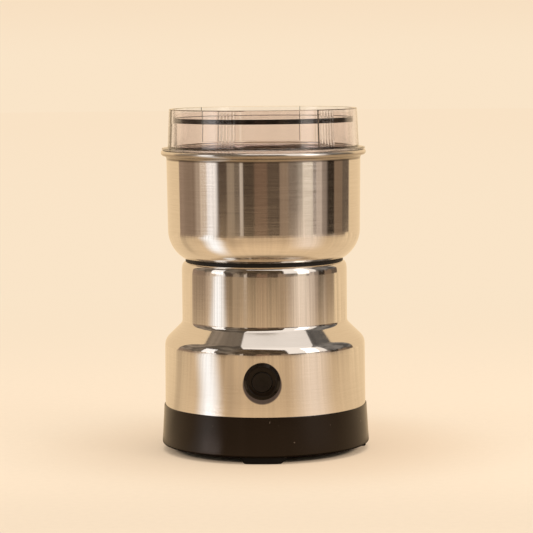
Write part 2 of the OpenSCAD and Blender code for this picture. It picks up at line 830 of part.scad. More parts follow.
// Foot at a bearing from the front towards +X: an arc of rubber with sloping ends and a peg
module foot(bearing) {
    outline = [
        [foot_inner_r + 0.6, 0], [foot_outer_r - 0.6, 0], [foot_outer_r, 0.6],
        [foot_outer_r, foot_h], [foot_inner_r, foot_h], [foot_inner_r, 0.6]
    ];
    side = [
        [-foot_w / 2 + foot_slope, -cut], [foot_w / 2 - foot_slope, -cut],
        [foot_w / 2 - foot_slope, 0], [foot_w / 2, foot_h - 0.4], [foot_w / 2, foot_h + cut],
        [-foot_w / 2, foot_h + cut], [-foot_w / 2, foot_h - 0.4], [-foot_w / 2 + foot_slope, 0]
    ];
    color(rubber) rotate([0, 0, bearing]) union() {
        intersection() {
            rotate_extrude() polygon(outline);
            rotate([90, 0, 0]) linear_extrude(height = 60) polygon(side);
        }
        translate([0, -foot_peg_r, foot_h - eps]) cylinder(r = peg_r, h = floor_t + 2 * eps);
        translate([0, -foot_peg_r, floor_top]) cylinder(r1 = peg_r + 0.5, r2 = peg_r - 0.6, h = 1.4);
    }
}

// Grommet in the base's rear wall that the cord passes through
module cord_gland() {
    outer = 54.6;
    color(rubber) difference() {
        union() {
            difference() {
                translate([0, 0, gland_z]) rotate([-90, 0, 0]) translate([0, 0, 45])
                    cylinder(r = 7, h = outer - 45);
                translate([0, 0, gland_z - 20]) cylinder(r = base_outer_r(gland_z - 7) + touch, h = 40);
            }
            translate([0, 0, gland_z]) rotate([-90, 0, 0]) translate([0, 0, base_inner_r - 2.4])
                cylinder(r = gland_r, h = outer - base_inner_r + 1);
            difference() {
                translate([0, 0, gland_z]) rotate([-90, 0, 0]) translate([0, 0, base_inner_r - 3])
                    cylinder(r = 5.9, h = 2.2);
                ring_solid(60, base_inner_r - touch, 0, 40);
            }
        }
        translate([0, 0, gland_z]) rotate([-90, 0, 0]) translate([0, 0, 40])
            cylinder(r = gland_bore_r, h = 20);
    }
}

// ---- wiring ----

module terminal_block() {
    color("#d9d4c8") difference() {
        translate([-10, 32, floor_top]) cube([20, 9, 9]);
        for (x = [-5, 5]) {
            translate([x, 30, floor_top + 4.5]) rotate([-90, 0, 0]) cylinder(r = 1.6, h = 14);
            translate([x, 36.5, floor_top + 4.5]) cylinder(r = 1.8, h = 8);
        }
    }
}

module lead_live() {
    route = [
        [-5, 34, 10.5], [-5, 28, 10.5], [-7, 12, 10], [-10, -8, 10], [-13, -26, 12],
        [-14, -33, 22], [-13, -31, 34], [-10, -26.5, 40.5], [-5.6, -25.4, 41.8], [-4.1, -26, 41.8]
    ];
    color("#7a3b22") wire(curve(route, 4), lead_r, 8);
}

module lead_switch() {
    route = [[4.1, -26, 41.8], [5.6, -25, 41.8], [9, -23.4, 42.2], [12, -20.4, 43.2]];
    color("#1d3f73") wire(curve(route, 4), lead_r, 8);
}

// Coil to brush holder, along the right side of the motor
module coil_lead() {
    route = [[13.5, 17.5, 43.2], [16, 14, 42.4], [19.5, 8, 41.9], [22, 3, 41.8], [22.4, 0, 41.5]];
    wire(curve(route, 4), lead_r, 8);
}

module lead_front_coil() {
    color("#1d1d1d") rotate([0, 0, 180]) coil_lead();
}

module lead_rear_coil() {
    color("#1d1d1d") coil_lead();
}

module lead_neutral() {
    route = [[5, 34, 10.5], [5, 29.5, 11.5], [4, 29.5, 20], [0, 30, 30], [-6, 27, 39], [-12, 21, 43.2]];
    color("#1d3f73") wire(curve(route, 4), lead_r, 8);
}

lid_shell();
lid_plate();
lid_seal();
grinding_bowl();
bowl_seal();
bowl_screws();
shaft_bush();
shaft_seal();
blade_collar();
lower_blade();
upper_blade();
blade_washer();
blade_nut();
housing_sleeve();
damping_ring();
base_tabs();
motor_plate();
upper_bearing();
stator_core();
rotate([0, 0, 180]) field_coil();  // field_coil_front
field_coil();  // field_coil_rear
rotor_shaft();
rotor_core();
rotor_windings();
commutator();
cooling_fan();
lower_bracket();
lower_bearing();
motor_bolts();
brush_holder();  // brush_holder_right
rotate([0, 0, 180]) brush_holder();  // brush_holder_left
brush();  // brush_right
rotate([0, 0, 180]) brush();  // brush_left
brush_spring();  // brush_spring_right
rotate([0, 0, 180]) brush_spring();  // brush_spring_left
switch_bezel();
button_cap();
button_plunger();
contact_bridge();
button_spring();
switch_nut();
switch_body();
switch_back();
switch_terminals();
base_cover();
base_screws();
foot(0);  // foot_front
foot(side_foot);  // foot_right
foot(180);  // foot_rear
foot(360 - side_foot);  // foot_left
cord_gland();
terminal_block();
lead_live();
lead_switch();
lead_front_coil();
lead_rear_coil();
lead_neutral();
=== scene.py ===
import bpy
import json
import math
import numpy as np
from mathutils import Matrix, Vector


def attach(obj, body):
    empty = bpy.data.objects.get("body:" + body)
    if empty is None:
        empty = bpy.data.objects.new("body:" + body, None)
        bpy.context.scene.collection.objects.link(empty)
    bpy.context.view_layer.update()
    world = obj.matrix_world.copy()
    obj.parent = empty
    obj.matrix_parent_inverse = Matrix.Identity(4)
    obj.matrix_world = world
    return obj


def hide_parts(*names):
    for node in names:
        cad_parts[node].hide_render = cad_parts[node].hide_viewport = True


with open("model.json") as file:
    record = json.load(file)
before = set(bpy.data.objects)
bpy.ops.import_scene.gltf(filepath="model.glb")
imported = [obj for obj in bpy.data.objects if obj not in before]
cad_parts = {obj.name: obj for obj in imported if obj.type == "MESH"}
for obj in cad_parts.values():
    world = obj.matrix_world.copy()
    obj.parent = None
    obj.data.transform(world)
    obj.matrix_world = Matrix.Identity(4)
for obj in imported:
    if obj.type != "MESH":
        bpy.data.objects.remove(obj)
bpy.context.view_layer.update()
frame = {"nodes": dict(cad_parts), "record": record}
scene = bpy.context.scene
scene.view_settings.view_transform = "Standard"
mm = 0.001
print("frame loaded:", len(frame["nodes"]), "nodes")


# Points along an arc: centre plus radius times (cosine, sine) of an angle that runs between two bearings
def arc(centre, radius, fromDegrees, toDegrees, count):
    angle = np.radians(np.linspace(fromDegrees, toDegrees, count + 1))
    return np.stack([centre[0] + radius * np.cos(angle), centre[1] + radius * np.sin(angle)], 1)


# An outline with more points: a side's points are a + (b - a) s. Long sides are cut in steps, and each gets a
# point close to both its ends, so that a small rounding doesn't bend the shading of the side beside it
def refine(outline, step, closed=True, edge=0.25):
    points = [np.asarray(p, float) for p in outline]
    made = []
    count = len(points) if closed else len(points) - 1
    for i in range(count):
        a, b = points[i], points[(i + 1) % len(points)]
        length = np.linalg.norm(b - a)
        share = [0.0]
        if length > 4 * edge:
            share += list(np.linspace(edge / length, 1 - edge / length, max(2, int(length / step) + 2)))
        made += [a + (b - a) * s for s in share]
    if not closed:
        made.append(points[-1])
    return np.array(made)


# Points and faces from a grid of rows by columns: a face joins a point, its neighbours in the next column and
# row, and the one across. Columns close on themselves. Rows close on themselves too, or end in a pole (a row
# that has shrunk to a point) or in one flat face.
def gridFaces(grid, rowsClosed):
    rows, columns = grid.shape[:2]
    index = np.arange(rows * columns).reshape(rows, columns)
    points = grid.reshape(-1, 3)
    spread = np.linalg.norm(grid - grid.mean(1, keepdims=True), axis=2).max(1)
    isPole = spread < 1e-7
    nextColumn = np.roll(index, -1, axis=1)
    nextRow = np.roll(index, -1, axis=0)
    nextBoth = np.roll(nextRow, -1, axis=1)
    last = rows if rowsClosed else rows - 1
    quads = np.stack([index[:last], nextColumn[:last], nextBoth[:last], nextRow[:last]], 2).reshape(-1, 4)
    for row in (0, rows - 1):
        if not rowsClosed and isPole[row]:
            quads[np.isin(quads, index[row])] = index[row, 0]
    faces = [list(dict.fromkeys(q)) for q in quads.tolist()]
    if not rowsClosed:
        if not isPole[0]:
            faces.append(index[0, ::-1].tolist())
        if not isPole[-1]:
            faces.append(index[-1].tolist())
    used = np.unique(np.concatenate([np.array(f) for f in faces]))
    renumber = np.full(len(points), -1)
    renumber[used] = np.arange(len(used))
    return points[used], [renumber[f].tolist() for f in faces]


# Six times the volume under the faces' triangles, the sum of a . (b x c): below zero when they point inwards
def meshVolume(points, faces):
    triangles = np.array([(f[0], f[k], f[k + 1]) for f in faces for k in range(1, len(f) - 1)])
    a, b, c = points[triangles[:, 0]], points[triangles[:, 1]], points[triangles[:, 2]]
    return float((a * np.cross(b, c)).sum())


# One piece from a grid in millimetres, smooth-shaded, with edges sharper than crease kept sharp. Its faces
# are turned round where the volume under them is below zero
def solidMesh(name, grid, body, rowsClosed=True, crease=None):
    points, faces = gridFaces(grid, rowsClosed)
    if meshVolume(points, faces) < 0:
        faces = [f[::-1] for f in faces]
    mesh = bpy.data.meshes.new(name)
    mesh.from_pydata((points * mm).tolist(), [], faces)
    mesh.polygons.foreach_set("use_smooth", np.ones(len(mesh.polygons), bool))
    if crease:
        mesh.set_sharp_from_angle(angle=math.radians(crease))
    mesh.update()
    piece = bpy.data.objects.new(name, mesh)
    scene.collection.objects.link(piece)
    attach(piece, body)
    return piece


# An outline of radius and height turned round +Z: x = r cos t, y = r sin t, z = h
def turned(outline, angles):
    r, h = outline[:, 0, None], outline[:, 1, None]
    return np.stack([r * np.cos(angles), r * np.sin(angles), h + 0 * angles], 2)


# Angles once round in equal steps of 360 degrees over count
def fullTurn(count):
    return np.linspace(0, 2 * np.pi, count, endpoint=False)


finishes = {}
white = (1.0, 1.0, 1.0, 1.0)
noiseSpan = (0.32, 0.68)  # most of a noise's values lie in here
wideSpan = (0.3, 0.7)  # and nearly all in here


# A shader node. An input is linked where its value is a socket, and fixed otherwise
def addNode(tree, kind, inputs=None, **settings):
    made = tree.nodes.new("ShaderNode" + kind)
    for key, value in settings.items():
        setattr(made, key, value)
    for key, value in (inputs or {}).items():
        if isinstance(value, bpy.types.NodeSocket):
            tree.links.new(value, made.inputs[key])
        else:
            made.inputs[key].default_value = value
    return made


# The result of one Math node
def maths(tree, operation, *values):
    return addNode(tree, "Math", dict(enumerate(values)), operation=operation).outputs[0]


# The sum of two or more values
def add(tree, first, *others):
    for other in others:
        first = maths(tree, "ADD", first, other)
    return first


# The product of two or more values
def times(tree, first, *others):
    for other in others:
        first = maths(tree, "MULTIPLY", first, other)
    return first


# a times its share plus b times the rest
def weigh(tree, a, b, share):
    return add(tree, times(tree, a, share), times(tree, b, 1 - share))


# The root of a squared plus b squared
def hypotenuse(tree, a, b):
    return maths(tree, "SQRT", add(tree, times(tree, a, a), times(tree, b, b)))


# Degrees from the front, -Y, towards +X: the arc tangent of x over -y
def bearingOf(tree, x, y):
    return maths(tree, "DEGREES", maths(tree, "ARCTAN2", x, times(tree, y, -1.0)))


# Eases from the first result to the second while value crosses span: with s the share crossed, 3 s^2 - 2 s^3
def ramp(tree, value, span, results=(0.0, 1.0)):
    inputs = {0: value, 1: span[0], 2: span[1], 3: results[0], 4: results[1]}
    return addNode(tree, "MapRange", inputs, interpolation_type="SMOOTHSTEP").outputs[0]


# The same from one down to nought
def fade(tree, value, span):
    return ramp(tree, value, span, (1.0, 0.0))


# One between two edges and nought beyond them: a ramp at the first times a fade at the second
def between(tree, value, start, end):
    return times(tree, ramp(tree, value, start), fade(tree, value, end))


# Noise between about 0 and 1 at a vector times scale, with a fourth coordinate where w is given
def noise(tree, vector, scale, detail=2.0, roughness=0.5, w=None):
    inputs = {"Vector": vector, "Scale": scale, "Detail": detail, "Roughness": roughness}
    if w is not None:
        inputs["W"] = w
    return addNode(tree, "TexNoise", inputs, noise_dimensions="4D" if w is not None else "3D").outputs[0]


# Noise along a line: streaks that cross it, from a value that runs along it
def lineNoise(tree, value, place, scale, detail, roughness):
    vector = addNode(tree, "CombineXYZ", {0: value, 1: place}).outputs[0]
    return noise(tree, vector, scale, detail, roughness)


# Colour a turned into colour b by share
def blendColours(tree, share, a, b):
    return addNode(tree, "Mix", {0: share, 6: a, 7: b}, data_type="RGBA").outputs[2]


# A colour or vector times a factor
def scaled(tree, colour, factor):
    return addNode(tree, "VectorMath", {0: colour, "Scale": factor}, operation="SCALE").outputs[0]


# Distance of a point from the origin
def distanceOf(tree, point):
    return addNode(tree, "VectorMath", {0: point}, operation="LENGTH").outputs["Value"]


# The three coordinates of a vector
def split(tree, vector):
    return addNode(tree, "SeparateXYZ", {0: vector}).outputs


# A colour with full opacity
def rgba(colour):
    return (*colour, 1.0)


# One colour that eases into another while value crosses span
def toneAcross(tree, value, span, a, b):
    return blendColours(tree, ramp(tree, value, span), rgba(a), rgba(b))


# A look's dark colour that eases into its light one
def toneOf(tree, value, span, look):
    return toneAcross(tree, value, span, look["dark"], look["light"])


# A new finish with one Principled shader; the fixed values go straight to the shader's own sockets
def newFinish(name, fixed):
    material = bpy.data.materials.new(name)
    material.use_nodes = True
    finishes[name] = material
    tree = material.node_tree
    tree.nodes.clear()
    shader = addNode(tree, "BsdfPrincipled", fixed)
    addNode(tree, "OutputMaterial", {0: shader.outputs[0]})
    return tree, shader, addNode(tree, "TexCoord").outputs["Object"]


# Links a colour, a roughness and a bump to the shader: the bump is made from a height and the look's depth
def connect(tree, shader, colour, rough, height, look):
    depth = look["depth"]
    bump = addNode(tree, "Bump", {"Height": height, "Strength": look["bump"], "Distance": depth}).outputs[0]
    for socket, value in (("Base Color", colour), ("Roughness", rough), ("Normal", bump)):
        tree.links.new(value, shader.inputs[socket])


# what both brushed steels share: the broad streaks as shares of the fine ones, smudges and spans of noise
brushing = {
    "anisotropy": 0.8, "rotation": 0.25, "streaksPerMetre": 8200.0, "broadTurns": 0.6, "broadPerMetre": 0.12,
    "fineShare": 0.95, "gritty": 0.55, "smudge": 0.02, "smudges": 38.0, "smudgeSpan": (0.35, 0.75),
    "roughSpan": (0.36, 0.66), "depth": 0.00002, "leastRadius": 0.00001,
}


# Steel brushed round the grinder's axis. Streaks are noise at (x/r, y/r) times a low count and at z and r
# times a high one, so they run round the piece; they drive colour, roughness and bump
def brushedSteel(name, look):
    look = {**brushing, **look}
    tree, shader, place = newFinish(name, {
        "Metallic": 1.0, "Anisotropic": look["anisotropy"], "Anisotropic Rotation": look["rotation"],
    })
    x, y, z = split(tree, place)
    radius = hypotenuse(tree, x, y)
    safe = maths(tree, "MAXIMUM", radius, look["leastRadius"])
    around = (maths(tree, "DIVIDE", x, safe), maths(tree, "DIVIDE", y, safe))

    def streaks(turns, perMetre, detail):
        vector = addNode(tree, "CombineXYZ", {
            0: times(tree, around[0], turns), 1: times(tree, around[1], turns), 2: times(tree, z, perMetre),
        }).outputs[0]
        return noise(tree, vector, 1.0, detail, look["gritty"], times(tree, radius, perMetre))

    turns, perMetre = look["streakTurns"], look["streaksPerMetre"]
    fine = streaks(turns, perMetre, 3.0)
    broad = streaks(turns * look["broadTurns"], perMetre * look["broadPerMetre"], 2.0)
    both = weigh(tree, fine, broad, look["fineShare"])
    smudge = noise(tree, place, look["smudges"], 3.0)
    colour = toneOf(tree, both, noiseSpan, look)
    rough = add(tree, ramp(tree, both, look["roughSpan"], look["roughness"]),
                ramp(tree, smudge, look["smudgeSpan"], (0.0, look["smudge"])))
    if "grime" in look:  # painted shade under the rim's bead, and the rim is duller than the wall
        grime = look["grime"]
        beadShadeShare = times(tree, between(tree, z, grime["foot"], grime["top"]),
                     ramp(tree, smudge, wideSpan, grime["shares"]))
        colour = blendColours(tree, beadShadeShare, colour, toneAcross(tree, z, grime["change"], *grime["tones"]))
        rough = add(tree, rough, ramp(tree, z, grime["rim"], (0.0, grime["rimRough"])))
    if "film" in look:  # painted shadow of the button's bezel on the steel below it
        film = look["film"]
        down = maths(tree, "SUBTRACT", z, film["height"])
        inFront = maths(tree, "LESS_THAN", y, 0.0)
        share = times(tree, fade(tree, hypotenuse(tree, x, down), film["ring"]), inFront)
        colour = blendColours(tree, share, colour, rgba(film["tone"]))
    connect(tree, shader, colour, rough, both, look)
    swing = addNode(tree, "CombineXYZ", {0: times(tree, y, -1.0), 1: x}).outputs[0]
    tree.links.new(swing, shader.inputs["Tangent"])


# what a moulded finish has unless its look says otherwise: specks of dust, and the bump's depth in metres
moulding = {
    "fixed": {}, "specks": 900.0, "speckSpan": (0.83, 0.86), "dustShares": (0.0, 0.5),
    "dustColour": (0.25, 0.2, 0.16), "grainInTone": 0.35, "grainInRoughness": 0.5, "depth": 0.00003,
}


# Moulded plastic or rubber: a fine grain in the surface, faint clouds in the tone and a few pale specks
def mouldedFinish(name, look):
    look = {**moulding, **look}
    tree, shader, place = newFinish(name, look["fixed"])
    grain = noise(tree, place, look["grain"], 3.0, 0.6)
    cloud = noise(tree, place, look["clouds"], 3.0)
    speck = noise(tree, place, look["specks"], 0.0)
    body = toneOf(tree, weigh(tree, grain, cloud, look["grainInTone"]), wideSpan, look)
    dust = ramp(tree, speck, look["speckSpan"], look["dustShares"])
    colour = blendColours(tree, dust, body, rgba(look["dustColour"]))
    both = weigh(tree, grain, cloud, look["grainInRoughness"])
    connect(tree, shader, colour, ramp(tree, both, noiseSpan, look["roughness"]), grain, look)


# what a bare metal has unless its look says otherwise
bareMetal = {"stretch": (1.0, 1.0, 1.0), "grainInTone": 0.5, "depth": 0.00003}


# Bare metal that isn't brushed round the axis: stretch gives its grain a direction
def plainMetal(name, look):
    look = {**bareMetal, **look}
    tree, shader, place = newFinish(name, {"Metallic": 1.0})
    along = addNode(tree, "Mapping", {"Vector": place, "Scale": look["stretch"]}).outputs[0]
    grain = noise(tree, along, look["grain"], 3.0, 0.6)
    cloud = noise(tree, place, look["clouds"], 2.0)
    colour = toneOf(tree, weigh(tree, grain, cloud, look["grainInTone"]), noiseSpan, look)
    connect(tree, shader, colour, ramp(tree, grain, wideSpan, look["roughness"]), grain, look)


# what both layered metals share: how a wave and a grain make the level, and its spans for tone and roughness
layering = {
    "wobbles": 120.0, "grain": 1400.0, "waveShare": 0.8, "toneSpan": (0.15, 0.75), "roughSpan": (0.2, 0.9),
}


# Metal built up from sheets or turns of wire. Its bands are the absolute sine of the height times the layers
# per metre, so the joints between them are dark and sunk
def layeredMetal(name, look):
    look = {**layering, **look}
    tree, shader, place = newFinish(name, {"Metallic": 1.0})
    wobble = times(tree, noise(tree, place, look["wobbles"], 2.0), look["wobble"])
    phase = add(tree, times(tree, split(tree, place)[2], look["layers"]), wobble)
    wave = maths(tree, "ABSOLUTE", maths(tree, "SINE", times(tree, phase, math.pi)))
    level = weigh(tree, wave, noise(tree, place, look["grain"], 3.0, 0.6), look["waveShare"])
    colour = toneOf(tree, level, look["toneSpan"], look)
    connect(tree, shader, colour, ramp(tree, level, look["roughSpan"], look["roughness"][::-1]), level, look)


# Clear plastic: smooth outside with faint flow lines and rubbed patches, slightly tan in the mass. Painted
# highlights and shade on the grips' ribs follow the cosine of the bearing over their pitch, white crests and
# dark grooves
def clearPlastic(name, look):
    tree, shader, place = newFinish(name, {
        "Transmission Weight": 1.0, "IOR": look["ior"], "Specular IOR Level": 0.5,
    })
    drawn = addNode(tree, "Mapping", {"Vector": place, "Scale": look["flowStretch"]}).outputs[0]
    flow = noise(tree, drawn, look["flow"], 3.0)
    rub = noise(tree, place, look["rub"], 2.0, 0.6)
    x, y, z = split(tree, place)
    rear = times(tree, ramp(tree, z, look["rearHeights"]), ramp(tree, y, look["rearDepths"]))
    colour = blendColours(tree, flow, rgba(look["dark"]), rgba(look["light"]))
    colour = blendColours(tree, rear, colour, white)  # painted light: the rear rim is left untinted, so it shows lighter
    rim = times(tree, ramp(tree, z, look["rimHeights"]), ramp(tree, hypotenuse(tree, x, y), look["rimRadii"]),
                ramp(tree, y, look["rimDepths"], look["rimShares"]))
    colour = blendColours(tree, rim, colour, rgba(look["rimTone"]))  # painted shade: a dark line along the rim's outer edge, full in front and faint behind
    bearing = bearingOf(tree, x, y)
    for first, last, pitch, share in look["lines"]:
        phase = times(tree, maths(tree, "SUBTRACT", bearing, first), 2 * math.pi / pitch)
        wave = maths(tree, "COSINE", phase)
        inside = times(tree, fade(tree, z, look["lineHeights"]),
                       maths(tree, "GREATER_THAN", bearing, first), maths(tree, "LESS_THAN", bearing, last))
        crest = times(tree, ramp(tree, wave, look["crestSpan"]), inside)
        groove = times(tree, ramp(tree, wave, look["grooveSpan"]), inside, share)
        colour = blendColours(tree, crest, colour, white)
        colour = blendColours(tree, groove, colour, rgba(look["grooveTone"]))
    rough = add(tree, ramp(tree, flow, look["flowSpan"], look["roughness"]),
                ramp(tree, rub, look["rubSpan"], (0.0, look["rubRough"])))
    connect(tree, shader, colour, rough, flow, look)


# grain, clouds, specks, flow, rub and layers are counts per metre; a pair of numbers is where a change starts
# and ends, or what it starts from and ends at
brushedSteel("bowlSteel", {
    "dark": (0.70, 0.665, 0.625), "light": (0.78, 0.75, 0.715), "roughness": (0.05, 0.12),
    "streakTurns": 3.2, "bump": 0.06,
    # painted shade in the fold under the rim's bead, darker towards its foot; the rim is also rougher
    "grime": {"foot": (0.1488, 0.1498), "top": (0.1521, 0.1531), "change": (0.1494, 0.1508),
              "tones": ((0.17, 0.145, 0.12), (0.36, 0.315, 0.27)), "shares": (0.8, 1.0),
              "rim": (0.1494, 0.1504), "rimRough": 0.14}})
brushedSteel("housingSteel", {
    "dark": (0.71, 0.675, 0.635), "light": (0.77, 0.74, 0.705), "roughness": (0.04, 0.11),
    "streakTurns": 3.6, "bump": 0.04,
    # a painted shadow in a crescent under the button's bezel, on the front only
    "film": {"tone": (0.12, 0.112, 0.135), "height": 0.0396, "ring": (0.0092, 0.0101)}})
plainMetal("bladeSteel", {
    "dark": (0.50, 0.485, 0.46), "light": (0.70, 0.68, 0.65), "roughness": (0.2, 0.38),
    "stretch": (1.0, 1.0, 12.0), "grain": 900.0, "clouds": 120.0, "bump": 0.3})
plainMetal("screwSteel", {
    "dark": (0.42, 0.41, 0.39), "light": (0.64, 0.62, 0.60), "roughness": (0.22, 0.42),
    "stretch": (1.0, 1.0, 4.0), "grain": 1500.0, "clouds": 260.0, "bump": 0.3})
plainMetal("platedSteel", {
    "dark": (0.50, 0.49, 0.44), "light": (0.70, 0.69, 0.66), "roughness": (0.3, 0.5),
    "grain": 700.0, "clouds": 150.0, "bump": 0.25})
plainMetal("shaftSteel", {
    "dark": (0.40, 0.39, 0.37), "light": (0.60, 0.58, 0.56), "roughness": (0.15, 0.3),
    "stretch": (0.2, 0.2, 14.0), "grain": 700.0, "clouds": 120.0, "bump": 0.3})
plainMetal("springSteel", {
    "dark": (0.32, 0.31, 0.30), "light": (0.52, 0.50, 0.47), "roughness": (0.25, 0.4),
    "grain": 2400.0, "clouds": 300.0, "bump": 0.3})
plainMetal("bronze", {
    "dark": (0.40, 0.26, 0.12), "light": (0.66, 0.46, 0.24), "roughness": (0.35, 0.55),
    "grain": 3600.0, "clouds": 300.0, "bump": 0.6})
layeredMetal("laminations", {
    "dark": (0.10, 0.095, 0.09), "light": (0.36, 0.35, 0.33), "roughness": (0.4, 0.6),
    "layers": 2000.0, "wobble": 0.15, "bump": 0.5, "depth": 0.00008})
layeredMetal("copperWire", {
    "dark": (0.16, 0.055, 0.025), "light": (0.62, 0.28, 0.13), "roughness": (0.22, 0.4),
    "layers": 1900.0, "wobble": 0.9, "bump": 0.8, "depth": 0.00015})
plainMetal("copperBars", {
    "dark": (0.46, 0.21, 0.11), "light": (0.72, 0.38, 0.22), "roughness": (0.2, 0.4),
    "stretch": (1.0, 1.0, 9.0), "grain": 800.0, "clouds": 200.0, "bump": 0.3})
plainMetal("contactBrass", {
    "dark": (0.56, 0.42, 0.19), "light": (0.78, 0.60, 0.31), "roughness": (0.2, 0.38),
    "grain": 1200.0, "clouds": 250.0, "bump": 0.2})

mouldedFinish("baseBlack", {
    "dark": (0.006, 0.0036, 0.0022), "light": (0.0095, 0.006, 0.0038), "roughness": (0.15, 0.22),
    "grain": 2600.0, "clouds": 70.0, "bump": 0.2, "specks": 700.0, "speckSpan": (0.86, 0.89),
    "fixed": {"Specular IOR Level": 0.28, "Specular Tint": (1.0, 0.84, 0.74, 1.0)}})
mouldedFinish("buttonBlack", {
    "dark": (0.0072, 0.0045, 0.0028), "light": (0.0118, 0.0075, 0.0047),
    "roughness": (0.07, 0.12), "grain": 3200.0, "clouds": 160.0, "bump": 0.08,
    "fixed": {"Specular IOR Level": 0.15}})
mouldedFinish("capBlack", {
    "dark": (0.0086, 0.0056, 0.0034), "light": (0.0135, 0.0088, 0.0056),
    "roughness": (0.38, 0.48), "grain": 3600.0, "clouds": 200.0, "bump": 0.3,
    "fixed": {"Specular IOR Level": 0.18}})
mouldedFinish("blackRubber", {
    "dark": (0.006, 0.005, 0.0045), "light": (0.011, 0.0095, 0.0085), "roughness": (0.45, 0.62),
    "grain": 2200.0, "clouds": 90.0, "bump": 0.4, "fixed": {"Specular IOR Level": 0.25}})
mouldedFinish("footRubber", {
    "dark": (0.006, 0.0048, 0.004), "light": (0.011, 0.009, 0.0075), "roughness": (0.55, 0.72),
    "grain": 1800.0, "clouds": 90.0, "bump": 0.5, "fixed": {"Specular IOR Level": 0.2}})
mouldedFinish("innerPlastic", {
    "dark": (0.022, 0.020, 0.018), "light": (0.045, 0.041, 0.037), "roughness": (0.4, 0.6),
    "grain": 1500.0, "clouds": 60.0, "bump": 0.4})
mouldedFinish("whitePlastic", {
    "dark": (0.60, 0.56, 0.48), "light": (0.74, 0.70, 0.62), "roughness": (0.32, 0.48),
    "grain": 1500.0, "clouds": 90.0, "bump": 0.2, "dustColour": (0.4, 0.35, 0.28)})
mouldedFinish("carbon", {
    "dark": (0.030, 0.030, 0.032), "light": (0.075, 0.075, 0.08), "roughness": (0.5, 0.7),
    "grain": 2600.0, "clouds": 240.0, "bump": 0.5})
for lead, dark, light in (("leadBrown", (0.17, 0.065, 0.03), (0.26, 0.10, 0.05)),
                          ("leadBlue", (0.03, 0.08, 0.24), (0.05, 0.12, 0.34)),
                          ("leadBlack", (0.015, 0.015, 0.015), (0.03, 0.03, 0.03))):
    mouldedFinish(lead, {
        "dark": dark, "light": light, "roughness": (0.35, 0.5),
        "grain": 1800.0, "clouds": 120.0, "bump": 0.2})
# heights, depths (y) and radii in metres; the painted rib lines' first and last bearing, pitch and share of
# the groove's painted shade
clearPlastic("clearPlastic", {
    "dark": (0.885, 0.83, 0.815), "light": (0.945, 0.89, 0.88), "roughness": (0.008, 0.03),
    "ior": 1.49, "bump": 0.05, "depth": 0.0004,
    "flow": 90.0, "flowStretch": (1.0, 1.0, 0.25), "flowSpan": (0.35, 0.7),
    "rub": 1100.0, "rubSpan": (0.55, 0.8), "rubRough": 0.03,
    "rimTone": (0.03, 0.02, 0.018), "rimHeights": (0.1744, 0.1746), "rimRadii": (0.0473, 0.0475),
    "rimDepths": (-0.03, 0.02), "rimShares": (1.0, 0.12), "rearHeights": (0.1723, 0.1727),
    "rearDepths": (0.0, 0.01), "grooveTone": (0.50, 0.43, 0.43), "lineHeights": (0.1739, 0.1744),
    "crestSpan": (0.0, -1.0), "grooveSpan": (0.3, 1.0),
    "lines": [(-26.0, -15.0, 2.2, 0.6), (-13.4, -10.4, 3.0, 0.0), (35.4, 48.6, 2.2, 0.6)]})


# The finish of a slot has the slot's name with its words joined, as copper_wire and copperWire
def finishOf(slot):
    first, *others = slot.split("_")
    return finishes[first + "".join(word.capitalize() for word in others)]


# every CAD node gets the finish of its slot
for part in frame["record"]["subparts"]:
    node = frame["nodes"][part["node"]]
    node.data.materials.clear()
    node.data.materials.append(finishOf(part["material_slot"]))
print("finishes made:", len(finishes))


# Gives a new piece the finish of its slot, or the finish named, and hides the CAD nodes that it stands for
def dress(piece, slot, *nodes, finish=None):
    piece.data.materials.append(finishes[finish] if finish else finishOf(slot))
    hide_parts(*nodes)


lid = {
    "underside": 154.25, "flangeRadius": 52.0, "flangeEdge": 155.15, "flangeRounds": (0.5, 0.55),
    "flangeRoot": 155.35, "rootRound": 0.5, "wallFoot": 155.35, "top": 174.95, "footRadius": 48.8,
    "topRadius": 47.95, "wall": 2.0, "rimEdge": 0.3, "rimRound": 0.25, "ledge": 168.0, "step": 0.6,
    "spigotRadius": 48.3, "spigotDepth": 7.5, "spigotRound": 0.5, "gripFoot": 156.2, "gripRise": 0.12,
    "gripDepth": 0.6, "gripEdge": 0.05, "columns": 240, "rampReach": 0.6, "rampSteps": 13, "ribReach": 0.2,
    "ribSteps": 12, "closest": 0.012,
}
# grips: half of the lid, the deep cut's ends and the widths of their ramps, then rib groups of start, count,
# pitch and depth
grips = [
    {"turn": 0.0, "cut": (-11.6, 36.5), "ramps": (5.0, 0.6),
     "ribs": [(-26.0, 5, 2.2, 0.24), (37.1, 5, 2.3, 0.24)]},
    {"turn": 180.0, "cut": (-22.8, 45.4), "ramps": (0.16, 0.16),
     "ribs": [(-21.6, 5, 2.2, 0.05), (33.2, 5, 2.3, 0.05)]},
]


# Radius of the lid's outer wall: it falls in a straight line from the flange to the top
def lidRadius(z):
    share = (z - lid["wallFoot"]) / (lid["top"] - lid["wallFoot"])
    return lid["footRadius"] + (lid["topRadius"] - lid["footRadius"]) * share


# Radius of the wall's inside: the outer radius less the wall
def lidBore(z):
    return lidRadius(z) - lid["wall"]


# Depth of the grips at a bearing: the deep cut has a straight ramp at each end, and each rib group adds
# a row of flutes, depth times (1 - cos) / 2
def gripDepth(bearing):
    depth = np.zeros_like(bearing)
    for grip in grips:
        offset = (bearing - grip["turn"] + 180) % 360 - 180
        start, end = grip["cut"]
        startWidth, endWidth = grip["ramps"]
        share = np.clip(np.minimum((offset - start) / startWidth, (end - offset) / endWidth) + 0.5, 0, 1)
        depth = np.maximum(depth, lid["gripDepth"] * share)
        for first, count, pitch, deep in grip["ribs"]:
            phase = np.clip((offset - first) / pitch, 0, count)
            depth = depth + deep * (0.5 - 0.5 * np.cos(2 * np.pi * phase))
    return depth


